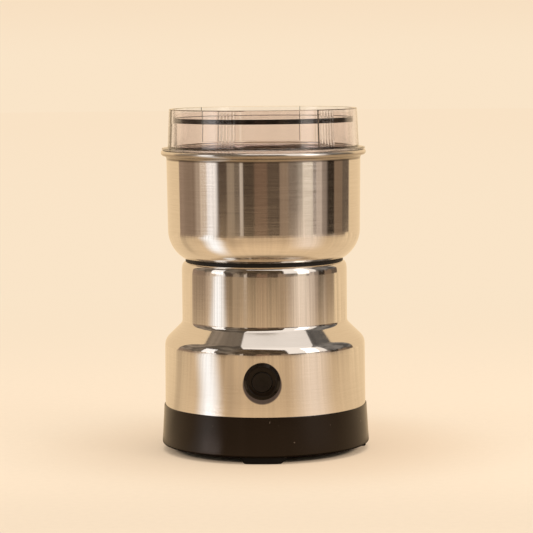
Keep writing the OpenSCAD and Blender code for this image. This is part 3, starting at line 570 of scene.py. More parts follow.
# Bearings of the lid's columns: an even turn, with close steps over each ramp and each rib, and without the
# ones that lie closer to the one before than closest
def lidBearings():
    bearings = [np.linspace(-180, 180, lid["columns"], endpoint=False)]
    for grip in grips:
        for end, width in zip(grip["cut"], grip["ramps"]):
            steps = np.linspace(-lid["rampReach"], lid["rampReach"], lid["rampSteps"])
            bearings.append(grip["turn"] + end + width * steps)
        for first, count, pitch, _ in grip["ribs"]:
            last = first + count * pitch + lid["ribReach"]
            steps = np.linspace(first - lid["ribReach"], last, lid["ribSteps"] * count + 1)
            bearings.append(grip["turn"] + steps)
    bearing = np.unique(np.round((np.concatenate(bearings) + 180) % 360 - 180, 3))
    return bearing[np.concatenate([[True], np.diff(bearing) > lid["closest"]])]


# The lid's shell is a closed outline turned round +Z: x = r sin b, y = -r cos b at bearing b. Above the
# grips' foot the outer wall is kept under the radius wall(z) - depth(b)
def lidShell():
    underside, top, ledge, gripFoot = lid["underside"], lid["top"], lid["ledge"], lid["gripFoot"]
    foot = underside - lid["spigotDepth"]
    spigot, spigotRound = lid["spigotRadius"], lid["spigotRound"]
    lower, upper = lid["flangeRounds"]
    root, rim, edge = lid["rootRound"], lid["rimRound"], lid["rimEdge"]
    outline = np.concatenate([
        arc((lid["flangeRadius"] - lower, underside + lower), lower, -90, 0, 5),
        arc((lid["flangeRadius"] - upper, lid["flangeEdge"] - upper), upper, 0, 68, 6),
        arc((lid["footRadius"] + root, lid["flangeRoot"] + root), -root, 78, 0, 8),
        [[lidRadius(z), z] for z in (gripFoot, gripFoot + lid["gripRise"])],
        arc((lid["topRadius"] - rim, top - rim), rim, 0, 90, 8),
        arc((lidBore(top) + edge, top - edge), edge, 90, 180, 6),
        [[lidBore(ledge), ledge], [lidBore(ledge) - lid["step"], ledge]],
        arc((spigot - lid["wall"] + spigotRound, foot + spigotRound), spigotRound, 180, 270, 4),
        arc((spigot - spigotRound, foot + spigotRound), spigotRound, 270, 360, 4),
        [[spigot, underside]],
    ])
    outline = refine(outline, step=3.0, edge=0.15)
    bearing = lidBearings()
    r, z = outline[:, 0, None], outline[:, 1, None]
    rise = np.clip((z - gripFoot) / lid["gripRise"], 0, 1)
    limit = lidRadius(z) - gripDepth(bearing)[None, :] * rise
    r = np.where(z > gripFoot - lid["gripEdge"], np.minimum(r, limit), r + 0 * limit)
    angle = np.radians(bearing)[None, :]
    return np.stack([r * np.sin(angle), -r * np.cos(angle), z + 0 * r], 2)


dress(solidMesh("clearLid", lidShell(), "lid", crease=40), "clear_plastic", "lid_shell")

# the plate closes the lid inside the seal; the dimple in its middle is given as radius and depth
plate = {"top": 170.3, "gap": 0.05, "round": 0.3, "dimple": ((1.6, 0.0), (1.2, 0.18), (0.0, 0.2)),
         "columns": 180}
seal = {"top": 170.45, "gap": 0.06, "width": 1.44, "innerRound": 0.3, "outerRound": 0.25, "columns": 180}
sealOut = lidBore(seal["top"]) - seal["gap"]
sealIn = sealOut - seal["width"]


# The plate's outline from the axis out and back: flat underside, two rounded edges, flat top with the dimple
def plateOutline():
    edge = plate["round"]
    centre = sealIn - plate["gap"] - edge
    return refine(np.concatenate([
        [[0.0, lid["ledge"]]],
        arc((centre, lid["ledge"] + edge), edge, -90, 0, 4),
        arc((centre, plate["top"] - edge), edge, 0, 90, 4),
        [[radius, plate["top"] - depth] for radius, depth in plate["dimple"]],
    ]), step=4.0, closed=False)


# The seal's outline is a rectangle with four rounded corners, an arc at each
def sealOutline():
    foot, top = lid["ledge"] + seal["gap"], seal["top"]
    inner, outer = seal["innerRound"], seal["outerRound"]
    return refine(np.concatenate([
        arc((sealIn + inner, foot + inner), inner, 180, 270, 3),
        arc((sealOut - outer, foot + outer), outer, 270, 360, 4),
        arc((sealOut - outer, top - outer), outer, 0, 90, 4),
        arc((sealIn + inner, top - inner), inner, 90, 180, 3),
    ]), step=1.0)


plateGrid = turned(plateOutline(), fullTurn(plate["columns"]))
sealGrid = turned(sealOutline(), fullTurn(seal["columns"]))
dress(solidMesh("clearPlate", plateGrid, "lid", rowsClosed=False, crease=40), "clear_plastic", "lid_plate")
dress(solidMesh("lidSeal", sealGrid, "lid"), "black_rubber", "lid_seal")
print("lid made")

bowl = {
    "underside": 96.3, "corner": 17.0, "steel": 0.8, "radius": 49.2, "rimRadius": 49.6, "fillet": 1.5,
    "bead": 1.5, "beadOut": 1.3, "top": 154.2, "holeRadius": 8.05, "mouth": 1.2, "columns": 256,
}


# The bowl's outline: flat floor, large round corner, wall that opens a little, and a rim rolled to a bead
def bowlOutline():
    underside, corner, steel, hole = bowl["underside"], bowl["corner"], bowl["steel"], bowl["holeRadius"]
    rimRadius, fillet, bead, mouth = bowl["rimRadius"], bowl["fillet"], bowl["bead"], bowl["mouth"]
    centre = (bowl["radius"] - corner, underside + corner)
    rim = bowl["top"] - bead
    return refine(np.concatenate([
        [[hole, underside]],
        arc(centre, corner, -90, 0, 26),
        arc((rimRadius + fillet, rim - bead - fillet), fillet, 180, 100, 6),
        arc((rimRadius + bowl["beadOut"], rim), bead, -80, 90, 14),
        arc((rimRadius - steel + mouth, bowl["top"] - mouth), mouth, 90, 180, 6),
        arc(centre, corner - steel, 0, -90, 24),
        [[hole, underside + steel]],
    ]), step=4.0)


bowlGrid = turned(bowlOutline(), fullTurn(bowl["columns"]))
dress(solidMesh("grindingBowl", bowlGrid, "housing", crease=50), "bowl_steel", "grinding_bowl")
print("bowl made")

sleeve = {
    "foot": 20.05, "footRadius": 51.6, "shoulderRadius": 51.4, "shoulderRound": 6.5, "slope": 44.2,
    "cornerZ": 65.65, "neckRadius": 42.35, "cornerRound": 3.4, "neckTop": 97.3, "neckRound": 3.0,
    "leadIn": 100.0, "leadTurn": 1.4, "neckLeadIn": 15.0, "neckLeadTurn": 10.0,
    "lipRadius": 38.3, "steel": 0.8, "columns": 288,
    "ripple": 0.0007, "rippleTurns": 17, "rippleWander": 1.3, "rippleHeight": 57.0, "rippleSpread": 3.5,
}


# The sleeve's line from foot to lip, set in by inset: wall, arc, sloping shoulder, tight corner, neck and top
# rounding. The wall and the neck lean in along a long arc before they turn.
def sleeveLine(inset):
    normal = math.radians(90 - sleeve["slope"])
    bearing = math.degrees(normal)
    lead, turn = sleeve["leadIn"], math.radians(sleeve["leadTurn"])
    reach = math.cos(normal) * sleeve["neckRadius"] + math.sin(normal) * sleeve["cornerZ"]
    roundR = sleeve["shoulderRadius"] - lead + (lead - sleeve["shoulderRound"]) * math.cos(turn)
    roundZ = (reach - sleeve["shoulderRound"] - math.cos(normal) * roundR) / math.sin(normal)
    leadZ = roundZ - (lead - sleeve["shoulderRound"]) * math.sin(turn)
    tightR = sleeve["neckRadius"] + sleeve["cornerRound"]
    tightZ = (reach + sleeve["cornerRound"] - math.cos(normal) * tightR) / math.sin(normal)
    neckLead, neckTurn = sleeve["neckLeadIn"], math.radians(sleeve["neckLeadTurn"])
    topR = sleeve["neckRadius"] - neckLead + (neckLead - sleeve["neckRound"]) * math.cos(neckTurn)
    topZ = sleeve["neckTop"] - sleeve["neckRound"]
    neckZ = topZ - (neckLead - sleeve["neckRound"]) * math.sin(neckTurn)
    return np.concatenate([
        [[sleeve["footRadius"] - inset, sleeve["foot"]]],
        arc((sleeve["shoulderRadius"] - lead, leadZ), lead - inset, 0, sleeve["leadTurn"], 8)[:-1],
        arc((roundR, roundZ), sleeve["shoulderRound"] - inset, sleeve["leadTurn"], bearing, 14),
        arc((tightR, tightZ), -sleeve["cornerRound"] - inset, bearing, 0, 8),
        arc((sleeve["neckRadius"] - neckLead, neckZ), neckLead - inset, 0, sleeve["neckLeadTurn"], 6)[:-1],
        arc((topR, topZ), sleeve["neckRound"] - inset, sleeve["neckLeadTurn"], 90, 12),
        [[sleeve["lipRadius"], sleeve["neckTop"] - inset]],
    ])


# The drawn shoulder isn't perfectly true: its radius swells by ripple times a bell curve of the height times
# a sine of the angle whose phase wanders
def rippled(grid):
    angle = np.arctan2(grid[..., 1], grid[..., 0])
    bell = np.exp(-(((grid[..., 2] - sleeve["rippleHeight"]) / sleeve["rippleSpread"]) ** 2))
    phase = sleeve["rippleTurns"] * angle + sleeve["rippleWander"] * np.sin(3 * angle)
    swell = 1 + sleeve["ripple"] * bell * np.sin(phase)
    return grid * np.stack([swell, swell, np.ones_like(swell)], 2)


sleeveOutline = refine(np.concatenate([sleeveLine(0.0), sleeveLine(sleeve["steel"])[::-1]]), step=3.0)
sleeveGrid = rippled(turned(sleeveOutline, fullTurn(sleeve["columns"])))
dress(solidMesh("housingSleeve", sleeveGrid, "housing", crease=50), "housing_steel", "housing_sleeve")
print("sleeve made")

# distances run along the switch's axis from the grinder's axis, radii from the switch's axis
button = {
    "height": 41.5, "bezelRadius": 9.15, "bezelFront": 54.6, "bezelEdge": 0.35, "bezelBevel": (1.25, 1.95),
    "bezelRear": (49.0, 49.05), "ringInset": 1.95, "ringRound": 0.25, "ringDip": (0.75, 0.3),
    "bore": 5.16, "boreRound": 0.3, "boreDip": 0.65, "boreRear": 50.5, "skinRadius": 51.45,
    "barrelRadius": 7.8, "barrelRear": 39.6, "capRadius": 5.1, "capFront": 54.2, "capEdge": 0.6,
    "capFace": ((0.0, 0.35), (1.3, 0.325), (2.5, 0.24), (3.5, 0.12)),  # radius and depth of the dished face
    "capLip": 49.94, "capLipRadius": 5.9, "capLipDeep": 1.4, "capWall": 0.6, "capCeiling": 52.2,
    "capRoom": (0.06, 0.05), "flangeReach": 0.15, "bezelColumns": 128, "capColumns": 96,
}


# An outline turned round the switch's axis, which points to -Y: x = r cos t, y = -h, z = height + r sin t
def turnedOnSwitch(outline, angles):
    r, h = outline[:, 0, None], outline[:, 1, None]
    return np.stack([r * np.cos(angles), -h + 0 * angles, button["height"] + r * np.sin(angles)], 2)


# The bezel is turned on the switch's axis. Its flange would cut into the round sleeve, so where its rear
# lies inside the sleeve's radius it follows the sleeve: h = the larger of h and sqrt(R^2 - x^2)
def bezelGrid():
    front, radius, edge = button["bezelFront"], button["bezelRadius"], button["bezelEdge"]
    across, deep = button["bezelBevel"]
    barrel, barrelRear = button["barrelRadius"], button["barrelRear"]
    ring, bore, boreRound = button["ringRound"], button["bore"], button["boreRound"]
    wellRadius = button["capLipRadius"] + button["capRoom"][0]
    wellFront = button["capLip"] + button["capRoom"][1]
    outline = refine(np.concatenate([
        [[barrel, button["bezelRear"][0]], [radius, button["bezelRear"][1]]],
        arc((radius - edge, front - deep), edge, 0, 35, 4),
        arc((radius - across - edge, front - edge), edge, 35, 90, 5),
        arc((radius - button["ringInset"], front - ring), ring, 90, 150, 3),
        [[bore + button["ringDip"][0], front - button["ringDip"][1]]],
        arc((bore + boreRound, front - button["boreDip"]), boreRound, 70, 180, 4),
        [[bore, button["boreRear"]], [bore, wellFront]],
        [[wellRadius, wellFront], [wellRadius, barrelRear], [barrel, barrelRear]],
    ]), step=1.5, edge=0.12)
    grid = turnedOnSwitch(outline, fullTurn(button["bezelColumns"]))
    flange = outline[:, 0] > barrel + button["flangeReach"]
    skin = np.sqrt(button["skinRadius"] ** 2 - grid[..., 0] ** 2)
    follow = flange[:, None] & (-grid[..., 1] < skin)
    grid[..., 1] = np.where(follow, -skin, grid[..., 1])
    return grid


# The cap's outline from the axis out and back: dished face, rounded edge, skirt with a lip, and its ceiling
def capOutline():
    front, radius, edge = button["capFront"], button["capRadius"], button["capEdge"]
    lip, lipRadius, ceiling = button["capLip"], button["capLipRadius"], button["capCeiling"]
    rear, inner = lip - button["capLipDeep"], radius - button["capWall"]
    return refine(np.concatenate([
        [[r, front - depth] for r, depth in button["capFace"]],
        arc((radius - edge, front - edge), edge, 90, 0, 7),
        [[radius, lip], [lipRadius, lip], [lipRadius, rear], [inner, rear], [inner, ceiling], [0.0, ceiling]],
    ]), step=1.5, closed=False, edge=0.12)


dress(solidMesh("buttonBezel", bezelGrid(), "housing", crease=45), "button_black", "switch_bezel")
capGrid = turnedOnSwitch(capOutline(), fullTurn(button["capColumns"]))
cap = solidMesh("buttonCap", capGrid, "button", rowsClosed=False, crease=45)
dress(cap, "button_black", "button_cap", finish="capBlack")
print("button made")

# rows: height and inset of each ring, from the flat underside round its edge and up the side to the flat top;
# the first and the last ring close up to a line
foot = {
    "halfWidth": 11.45, "slope": 2.0, "slopeTop": 3.0, "innerRadius": 43.6, "outerRadius": 51.8,
    "squareness": 0.16, "columns": 96,
    "rows": ((0, 9), (0, 0.62), (0.06, 0.4), (0.18, 0.22), (0.35, 0.08), (0.6, 0), (1.2, 0), (2.0, 0),
             (3.0, 0), (3.4, 0), (3.4, 9)),
    "bearings": {"front": 0, "right": 102, "rear": 180, "left": 258},
}


# A foot is a stack of rounded rectangles in (x, r): each point goes to (x, -sqrt(r^2 - x^2)), so the long
# sides follow the base. The half width grows from the table up, and the edge at the table is rounded.
def footGrid(bearing):
    height, inset = np.array(foot["rows"], float).T
    t = fullTurn(foot["columns"])
    sideX = np.sign(np.cos(t)) * np.abs(np.cos(t)) ** foot["squareness"]
    sideR = np.sign(np.sin(t)) * np.abs(np.sin(t)) ** foot["squareness"]
    halfWidth = foot["halfWidth"] - foot["slope"] * (1 - np.clip(height / foot["slopeTop"], 0, 1))
    halfDepth = (foot["outerRadius"] - foot["innerRadius"]) / 2
    x = (halfWidth - np.minimum(inset, halfWidth))[:, None] * sideX
    r = foot["innerRadius"] + halfDepth + (halfDepth - np.minimum(inset, halfDepth))[:, None] * sideR
    point = np.stack([x, -np.sqrt(r ** 2 - x ** 2), height[:, None] + 0 * x], 2)
    turn = math.radians(bearing)
    spin = np.array([[math.cos(turn), math.sin(turn), 0], [-math.sin(turn), math.cos(turn), 0], [0, 0, 1]])
    return point @ spin


for name, bearing in foot["bearings"].items():
    piece = solidMesh("foot" + name.capitalize(), footGrid(bearing), "housing", rowsClosed=False, crease=45)
    dress(piece, "foot_rubber", "foot_" + name)
print("feet made")

# The room that metal and clear plastic mirror. A pair says where an edge starts and where it is complete:
# bearings and elevations in degrees, the ceiling's edges as x/z and -y/z, the backdrop's as x/y and z/y.
# Noise along a line has a place, a scale, a detail and a roughness.
room = {
    "lines": (0.0, 0.9, 3.0, 0.65), "lineShades": (0.76, 1.22), "light": (1.2, 1.09, 0.99),
    "glintRise": (-3.4, -2.5), "glintLeft": (-24, -16), "glintRight": (14, 22), "glint": 0.3,
    "patches": 5.0, "patchSpan": (0.35, 0.7), "patchShades": (0.75, 1.9),
    "ragged": (3.7, 0.22, 3.0, 0.7), "tops": (-2.0, 9.0), "topBlur": (0.0, 5.0),
    "ceilingLeft": (-0.27, -0.245), "leftLean": 0.2, "ceilingRight": (0.66, 0.685), "rightLean": -0.75,
    "ceilingNear": (-0.27, -0.24), "ceilingFar": (0.80, 0.9), "farLean": -0.35,
    "ceilingSpan": (0.1, 0.8), "ceilingShades": (0.86, 1.06),
    "skylightLeft": (28, 30), "skylightRight": (77, 80), "skylightFoot": (5, 8), "skylightTop": (42, 45),
    "wallRight": (1.47, 1.57), "wallLeft": (-1.99, -1.89), "wallTilt": 0.6, "wallTop": (2.12, 2.28),
    "topTilt": 0.25, "backdrop": (0.955, 0.78, 0.577), "backdropTop": (0.935, 0.745, 0.54),
    "horizon": (-0.2, 1.5), "standLeft": (-164.0, -163.0), "standRight": (-152.0, -151.0),
    "standTone": (0.012, 0.006, 0.008), "least": 0.0001,
    "fillAbove": (0.97, 0.875, 0.765), "fillBelow": (0.13, 0.10, 0.075), "fillRise": (0.04, 0.45),
}
# panels round the room: the bearing where one starts, half the width of that edge, its colour
panels = [
    (-126, 1.0, (0.38, 0.26, 0.18)), (-106, 6.0, (0.31, 0.21, 0.142)), (-86.5, 3.0, (0.50, 0.37, 0.265)),
    (-79.5, 1.5, (0.75, 0.58, 0.43)), (-69.0, 2.4, (1.12, 1.02, 0.95)), (-54.8, 3.0, (0.105, 0.07, 0.048)),
    (-42, 1.4, (0.37, 0.275, 0.19)), (-33, 0.9, (0.21, 0.155, 0.11)), (-26.5, 0.8, (0.66, 0.54, 0.43)),
    (-22.5, 0.7, (0.085, 0.056, 0.036)), (-9, 1.6, (0.20, 0.118, 0.073)), (6, 1.6, (0.115, 0.076, 0.05)),
    (20.5, 0.9, (0.33, 0.225, 0.15)), (31, 2.0, (0.235, 0.175, 0.13)), (42.5, 3.0, (0.39, 0.32, 0.25)),
    (48.5, 1.0, (0.80, 0.67, 0.53)), (62, 1.2, (0.32, 0.25, 0.20)), (66.5, 1.0, (0.63, 0.50, 0.40)),
    (75, 1.4, (0.33, 0.25, 0.195)), (82.5, 2.4, (0.038, 0.025, 0.016)), (94, 0.8, (0.27, 0.178, 0.112)),
    (109, 1.6, (0.165, 0.117, 0.08)),
]
# the dark above the panels: its tone on the left, then where another takes over, and that one
darkLeft = (0.22, 0.17, 0.125)
darkTones = [((-100, -75), (0.136, 0.107, 0.08)), ((-50, -20), (0.09, 0.06, 0.035)),
             ((20, 60), (0.153, 0.136, 0.12))]


# Tone of the panels at a bearing. Each goes into the next over its own half width in degrees, plus softness
def panelTone(tree, bearing, softness):
    tone = rgba(panels[0][2])
    for start, blur, colour in panels[1:]:
        blur += softness
        tone = blendColours(tree, ramp(tree, bearing, (start - blur, start + blur)), tone, rgba(colour))
    lines = lineNoise(tree, bearing, *room["lines"])
    return scaled(tree, tone, ramp(tree, lines, wideSpan, room["lineShades"]))


# The dark above the panels at a bearing, in patches
def darkTone(tree, bearing, direction):
    tone = rgba(darkLeft)
    for span, colour in darkTones:
        tone = blendColours(tree, ramp(tree, bearing, span), tone, rgba(colour))
    patches = noise(tree, direction, room["patches"], 2.0)
    return scaled(tree, tone, ramp(tree, patches, room["patchSpan"], room["patchShades"]))


# What is seen with the light ceiling added: a four-sided area of the plane overhead, whose edges are lines
# in (x/z, -y/z)
def withCeiling(tree, seen, x, y, z):
    over = maths(tree, "MAXIMUM", z, room["least"])
    across = maths(tree, "DIVIDE", x, over)
    along = maths(tree, "DIVIDE", times(tree, y, -1.0), over)
    leftLine = add(tree, across, times(tree, along, room["leftLean"]))
    rightLine = add(tree, across, times(tree, along, room["rightLean"]))
    farLine = add(tree, along, times(tree, across, room["farLean"]))
    share = times(tree, ramp(tree, leftLine, room["ceilingLeft"]),
                  fade(tree, rightLine, room["ceilingRight"]), ramp(tree, along, room["ceilingNear"]),
                  fade(tree, farLine, room["ceilingFar"]))
    tone = scaled(tree, room["light"], ramp(tree, along, room["ceilingSpan"], room["ceilingShades"]))
    return blendColours(tree, share, seen, tone)


# Share of the backdrop's sheet: its edges are lines in (x/y, z/y) behind the grinder
def backdropShare(tree, x, y, z):
    behind = maths(tree, "MAXIMUM", y, room["least"])
    sideways = maths(tree, "DIVIDE", x, behind)
    upwards = maths(tree, "DIVIDE", z, behind)
    leftLine = add(tree, sideways, times(tree, z, room["wallTilt"]))
    topLine = add(tree, upwards, times(tree, sideways, room["topTilt"]))
    return times(tree, fade(tree, sideways, room["wallRight"]), ramp(tree, leftLine, room["wallLeft"]),
                 fade(tree, topLine, room["wallTop"]), maths(tree, "GREATER_THAN", y, 0.0))


# What metal and clear plastic see of the room. Above the panels' ragged tops it is dark, but for a ceiling
# and a skylight; behind is the backdrop, with a dark stand on its left that only rays through the lid see
def mirroredRoom(tree, direction, elevation, isThrough):
    x, y, z = split(tree, direction)
    bearing = bearingOf(tree, x, y)
    glint = times(tree, ramp(tree, elevation, room["glintRise"], (0.0, room["glint"])),
                  between(tree, bearing, room["glintLeft"], room["glintRight"]))
    seen = scaled(tree, panelTone(tree, bearing, 0.0), add(tree, glint, 1.0))
    tops = ramp(tree, lineNoise(tree, bearing, *room["ragged"]), wideSpan, room["tops"])
    above = ramp(tree, maths(tree, "SUBTRACT", elevation, tops), room["topBlur"])
    seen = blendColours(tree, above, seen, darkTone(tree, bearing, direction))
    seen = withCeiling(tree, seen, x, y, z)
    skylight = times(tree, between(tree, bearing, room["skylightLeft"], room["skylightRight"]),
                     between(tree, elevation, room["skylightFoot"], room["skylightTop"]))
    seen = blendColours(tree, skylight, seen, rgba(room["light"]))
    backdrop = blendColours(tree, isThrough, rgba(paper["glow"]), rgba(room["backdrop"]))
    seen = blendColours(tree, backdropShare(tree, x, y, z), seen, backdrop)
    stand = times(tree, between(tree, bearing, room["standLeft"], room["standRight"]), isThrough)
    return blendColours(tree, stand, seen, rgba(room["standTone"]))


# The world by kind of ray: the camera sees the backdrop's tones, mirroring and clear pieces see the room, and
# the rest is lit by a fill that grows paler upwards
def studioWorld():
    world = bpy.data.worlds.new("studioRoom")
    scene.world = world
    world.use_nodes = True
    world.cycles.sampling_method = "NONE"
    tree = world.node_tree
    tree.nodes.clear()
    path = addNode(tree, "LightPath").outputs
    direction = addNode(tree, "TexCoord").outputs["Generated"]
    z = split(tree, direction)[2]
    elevation = maths(tree, "DEGREES", maths(tree, "ARCSINE", z))
    isThrough = path["Is Transmission Ray"]
    seen = mirroredRoom(tree, direction, elevation, isThrough)
    fill = toneAcross(tree, z, room["fillRise"], room["fillBelow"], room["fillAbove"])
    shown = blendColours(tree, maths(tree, "MAXIMUM", path["Is Glossy Ray"], isThrough), fill, seen)
    direct = toneAcross(tree, elevation, room["horizon"], room["backdrop"], room["backdropTop"])
    sky = blendColours(tree, path["Is Camera Ray"], shown, direct)
    addNode(tree, "OutputWorld", {0: addNode(tree, "Background", {0: sky, 1: 1.0}).outputs[0]})


# A flat sheet of the studio from its corners, with a material whose nodes are cleared for what follows
def stageSheet(name, points):
    mesh = bpy.data.meshes.new(name)
    mesh.from_pydata(points, [], [list(range(len(points)))])
    sheet = bpy.data.objects.new(name, mesh)
    scene.collection.objects.link(sheet)
    paint = bpy.data.materials.new(name + "Paint")
    paint.use_nodes = True
    paint.cycles.emission_sampling = "NONE"
    paint.node_tree.nodes.clear()
    mesh.materials.append(paint)
    return sheet, paint.node_tree, addNode(paint.node_tree, "TexCoord").outputs["Object"]


# the table in metres: spans are distances from the axis, along y in front, or along x from side to side
table = {
    "radius": 7.0, "columns": 96, "tone": (0.915, 0.812, 0.675), "weave": 260.0, "weaveShades": (0.985, 1.0),
    "frontSpan": (-0.2, -0.07), "frontShades": (0.915, 1.0), "shift": (0.0, 0.25, 0.0),
    "nearSpan": (0.33, 1.05), "hazeSpan": (1.2, 6.0), "haze": (0.95, 0.765, 0.56),
    "bounce": (0.9, 0.66, 0.44), "bounceSpan": (0.055, 0.14), "bounceShares": (0.5, 0.0),
    "bounceFoot": (0.0445, 0.049), "ringSpan": (0.051, 0.055), "ringShares": (0.55, 1.0),
    "sideSpan": (-0.05, 0.05), "sideShares": (0.75, 1.25),
}


# The table that the camera sees is a disc: paper that takes the shadow, painted darker towards the front,
# with a painted glow beside the base that lightens its shadow, and far away the backdrop's own tone
def tableTop():
    turn = fullTurn(table["columns"])
    disc = table["radius"] * np.stack([np.cos(turn), np.sin(turn), 0 * turn], 1)
    floor, tree, spot = stageSheet("tableTop", disc.tolist())
    floor.visible_glossy = False
    floor.visible_transmission = False
    x, y, _ = split(tree, spot)
    shifted = addNode(tree, "VectorMath", {0: spot, 1: table["shift"]}, operation="ADD").outputs[0]
    away, reach = distanceOf(tree, shifted), distanceOf(tree, spot)
    # painted shade: the paper grows darker towards the front
    weave = times(tree, ramp(tree, noise(tree, spot, table["weave"], 3.0), wideSpan, table["weaveShades"]),
                  ramp(tree, y, table["frontSpan"], table["frontShades"]))
    near = addNode(tree, "BsdfDiffuse", {0: scaled(tree, table["tone"], weave)}).outputs[0]
    haze = toneAcross(tree, away, table["hazeSpan"], room["backdrop"], table["haze"])
    far = addNode(tree, "Emission", {0: haze, 1: 1.0}).outputs[0]
    # painted light: a glow beside the base, stronger on the right, that lifts the shadow there
    bounce = addNode(tree, "Emission", {0: rgba(table["bounce"]), 1: 1.0}).outputs[0]
    glowShare = times(tree, ramp(tree, reach, table["bounceSpan"], table["bounceShares"]),
                    ramp(tree, reach, table["bounceFoot"]),
                    ramp(tree, reach, table["ringSpan"], table["ringShares"]),
                    ramp(tree, x, table["sideSpan"], table["sideShares"]))
    near = addNode(tree, "MixShader", {0: glowShare, 1: near, 2: bounce}).outputs[0]
    mixed = addNode(tree, "MixShader", {0: ramp(tree, away, table["nearSpan"]), 1: near, 2: far}).outputs[0]
    addNode(tree, "OutputMaterial", {0: mixed})


# the sheet that polished steel sees, in metres and degrees: levels add up, each a span of distances with its
# results, and the sheet mirrors the panels far off
paper = {
    "side": 1.02, "front": -0.985, "back": 0.62, "glow": (0.94, 0.69, 0.42),
    "frontGlow": (0.72, 0.50, 0.295), "glowSpan": (-0.25, 0.25),
    "levels": (((0.12, 0.33), (1.28, 0.97)), ((0.33, 0.42), (0.0, 0.13)), ((0.5, 0.8), (0.0, -0.14))),
    "levelSpan": (-0.2, 0.1), "mirror": 0.34, "sideMirror": 0.5, "mirrorSpan": (0.3, 0.92),
    "mirrorTurn": 2.0, "mirrorEnds": (113, 117), "softness": 2.5,
    "sheenTurns": (0.25, 0.5), "sheenSpreads": (0.55, 0.9), "sheenRise": 0.1,
    "glareTurn": 50.0, "glareEnds": (7.5, 12.5), "glareSpan": (0.165, 0.18), "glareNear": (0.085, 0.15),
    "glareShares": (0.1, 1.0), "glareSlope": (0.25, 0.35), "glare": (4.6, 4.3, 4.3),
    "contactSpan": (0.05, 0.085), "contactShares": (0.03, 1.0), "streaks": (5.1, 0.45, 4.0, 0.7),
    "streakShades": (-0.22, 0.22), "streakSpan": (0.25, 0.7), "streakShares": (0.3, 1.0),
}
# the windows' sheen on the sheet, and shadows: bearings near and far off, half widths in degrees near and far
# off, the distance where they start, share and tone
sheens = (
    ((-59, -65), (20, 13), 0.06, 1.0, (1.38, 1.36, 1.34)),
    ((-34, -40), (14, 26), 0.1, 0.26, (0.25, 0.17, 0.1)),
    ((-108, -108), (12, 12), 0.1, 0.3, (0.25, 0.17, 0.1)),
    ((54, 54), (30, 26), 0.1, 0.72, (1.2, 0.98, 0.79)),
    ((90, 90), (9, 10), 0.5, 0.4, (0.85, 0.64, 0.46)),
)


# Share of the panels that the sheet mirrors: mirror plus sideMirror times the squared sine of the bearing
def panelShare(tree, bearing, reach):
    sine = maths(tree, "SINE", maths(tree, "RADIANS", bearing))
    off = maths(tree, "ABSOLUTE", add(tree, bearing, paper["mirrorTurn"]))
    return times(tree, add(tree, paper["mirror"], times(tree, sine, sine, paper["sideMirror"])),
                 ramp(tree, reach, paper["mirrorSpan"]), fade(tree, off, paper["mirrorEnds"]))


# Share of one sheen: it falls with the angle from the sheen's middle over the sheen's half width
def sheenShare(tree, bearing, reach, turns, widths, start, share):
    middle = ramp(tree, reach, paper["sheenTurns"], turns)
    off = maths(tree, "ABSOLUTE", maths(tree, "SUBTRACT", bearing, middle))
    off = maths(tree, "DIVIDE", off, ramp(tree, reach, paper["sheenSpreads"], widths))
    return times(tree, ramp(tree, off, (0.0, 1.0), (share, 0.0)),
                 ramp(tree, reach, (start, start + paper["sheenRise"])))


# Share of a painted highlight beside the base: a bright patch on the sheet that only shallow rays see, so
# that the base mirrors a window's light
def glareShare(tree, bearing, reach):
    off = maths(tree, "ABSOLUTE", add(tree, bearing, paper["glareTurn"]))
    slope = split(tree, addNode(tree, "NewGeometry").outputs["Incoming"])[2]
    return times(tree, fade(tree, off, paper["glareEnds"]), fade(tree, reach, paper["glareSpan"]),
                 ramp(tree, reach, paper["glareNear"], paper["glareShares"]),
                 fade(tree, slope, paper["glareSlope"]))


# What polished steel sees of the table: a sheet that ends in front and at the sides, dimmer towards the
# front, with a contact shadow round the base and streaks across the bearings
def paperSheet():
    side, front, back = paper["side"], paper["front"], paper["back"]
    corners = [(-side, front, 0), (side, front, 0), (side, back, 0), (-side, back, 0)]
    sheet, tree, spot = stageSheet("paperSheet", corners)
    for flag in ("camera", "diffuse", "shadow", "volume_scatter"):
        setattr(sheet, "visible_" + flag, False)
    x, y, _ = split(tree, spot)
    reach = distanceOf(tree, spot)
    bearing = bearingOf(tree, x, y)
    shine = toneAcross(tree, y, paper["glowSpan"], paper["frontGlow"], paper["glow"])
    level = add(tree, -1.0, *(ramp(tree, reach, span, results) for span, results in paper["levels"]))
    shine = scaled(tree, shine, add(tree, times(tree, level, fade(tree, y, paper["levelSpan"])), 1.0))
    panel = panelTone(tree, bearing, paper["softness"])
    shine = blendColours(tree, panelShare(tree, bearing, reach), shine, panel)
    for turns, widths, start, share, colour in sheens:
        spread = sheenShare(tree, bearing, reach, turns, widths, start, share)
        shine = blendColours(tree, spread, shine, rgba(colour))
    shine = blendColours(tree, glareShare(tree, bearing, reach), shine, rgba(paper["glare"]))
    lines = lineNoise(tree, bearing, *paper["streaks"])
    streak = times(tree, ramp(tree, lines, wideSpan, paper["streakShades"]),
                   ramp(tree, reach, paper["streakSpan"], paper["streakShares"]))
    contact = ramp(tree, reach, paper["contactSpan"], paper["contactShares"])
    dim = times(tree, contact, add(tree, 1.0, streak))
    addNode(tree, "OutputMaterial", {0: addNode(tree, "Emission", {0: shine, 1: dim}).outputs[0]})


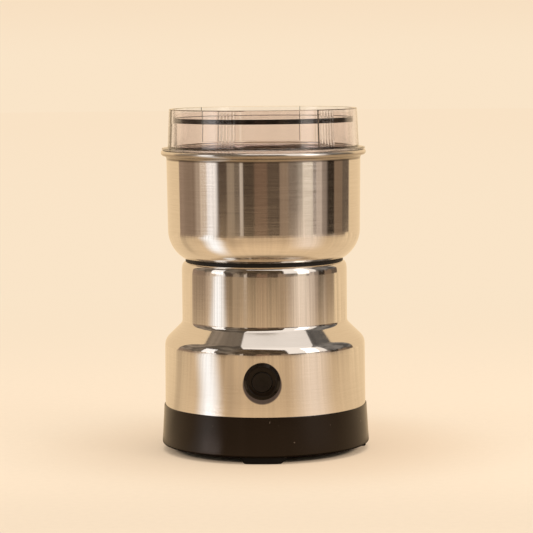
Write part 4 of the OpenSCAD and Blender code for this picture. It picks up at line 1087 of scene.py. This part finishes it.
# soft lamps: place in metres, size, the brightness that a mirror would show and the colour
softboxes = {
    "leftWindow": {"place": (-0.822, -0.366, 0.375), "size": (0.30, 0.49), "shows": 1.2,
                   "colour": (1.0, 0.975, 0.965)},
    "rightWindow": {"place": (0.75, -0.497, 0.50), "size": (0.28, 0.74), "shows": 1.35,
                    "colour": (1.0, 0.94, 0.88)},
    "topWindow": {"place": (0.175, -0.175, 1.3), "size": (1.02, 1.0), "shows": 1.25,
                  "colour": (1.0, 0.90, 0.81)},
}


# Area lamps, their energy pi times the brightness shown times the area: two face the axis, one faces down
def softLamps():
    for name, box in softboxes.items():
        lamp = bpy.data.lights.new(name, "AREA")
        lamp.shape = "RECTANGLE"
        lamp.size, lamp.size_y = box["size"]
        lamp.energy = box["shows"] * math.pi * box["size"][0] * box["size"][1]
        lamp.color = box["colour"]
        holder = bpy.data.objects.new(name, lamp)
        scene.collection.objects.link(holder)
        holder.location = box["place"]
        if name == "topWindow":
            holder.visible_glossy = False  # mirrors show the ceiling in its place
        else:
            aim = Vector((-box["place"][0], -box["place"][1], 0))
            holder.rotation_euler = aim.to_track_quat("-Z", "Y").to_euler()


studioWorld()
tableTop()
paperSheet()
softLamps()
print("studio made")

# metres and degrees; the lens and the sensor in millimetres
view = {"distance": 1.182, "height": 0.2034, "pitch": 5.30, "bearing": 1.7, "roll": -0.5, "aside": 0.00113,
        "lens": 155.96, "sensor": 36.0, "clip": (0.05, 50.0)}
lens = bpy.data.cameras.new("camera")
lens.lens = view["lens"]
lens.sensor_width = view["sensor"]
lens.clip_start, lens.clip_end = view["clip"]
camera = bpy.data.objects.new("camera", lens)
scene.collection.objects.link(camera)
turn, pitch, roll = [math.radians(view[key]) for key in ("bearing", "pitch", "roll")]
place = Vector((math.sin(turn), -math.cos(turn), 0)) * view["distance"]
place += Vector((math.cos(turn), math.sin(turn), 0)) * view["aside"] + Vector((0, 0, view["height"]))
camera.matrix_world = (
    Matrix.Translation(place) @ Matrix.Rotation(turn, 4, "Z")
    @ Matrix.Rotation(math.pi / 2 - pitch, 4, "X") @ Matrix.Rotation(roll, 4, "Z")
)
scene.camera = camera
print("camera made")
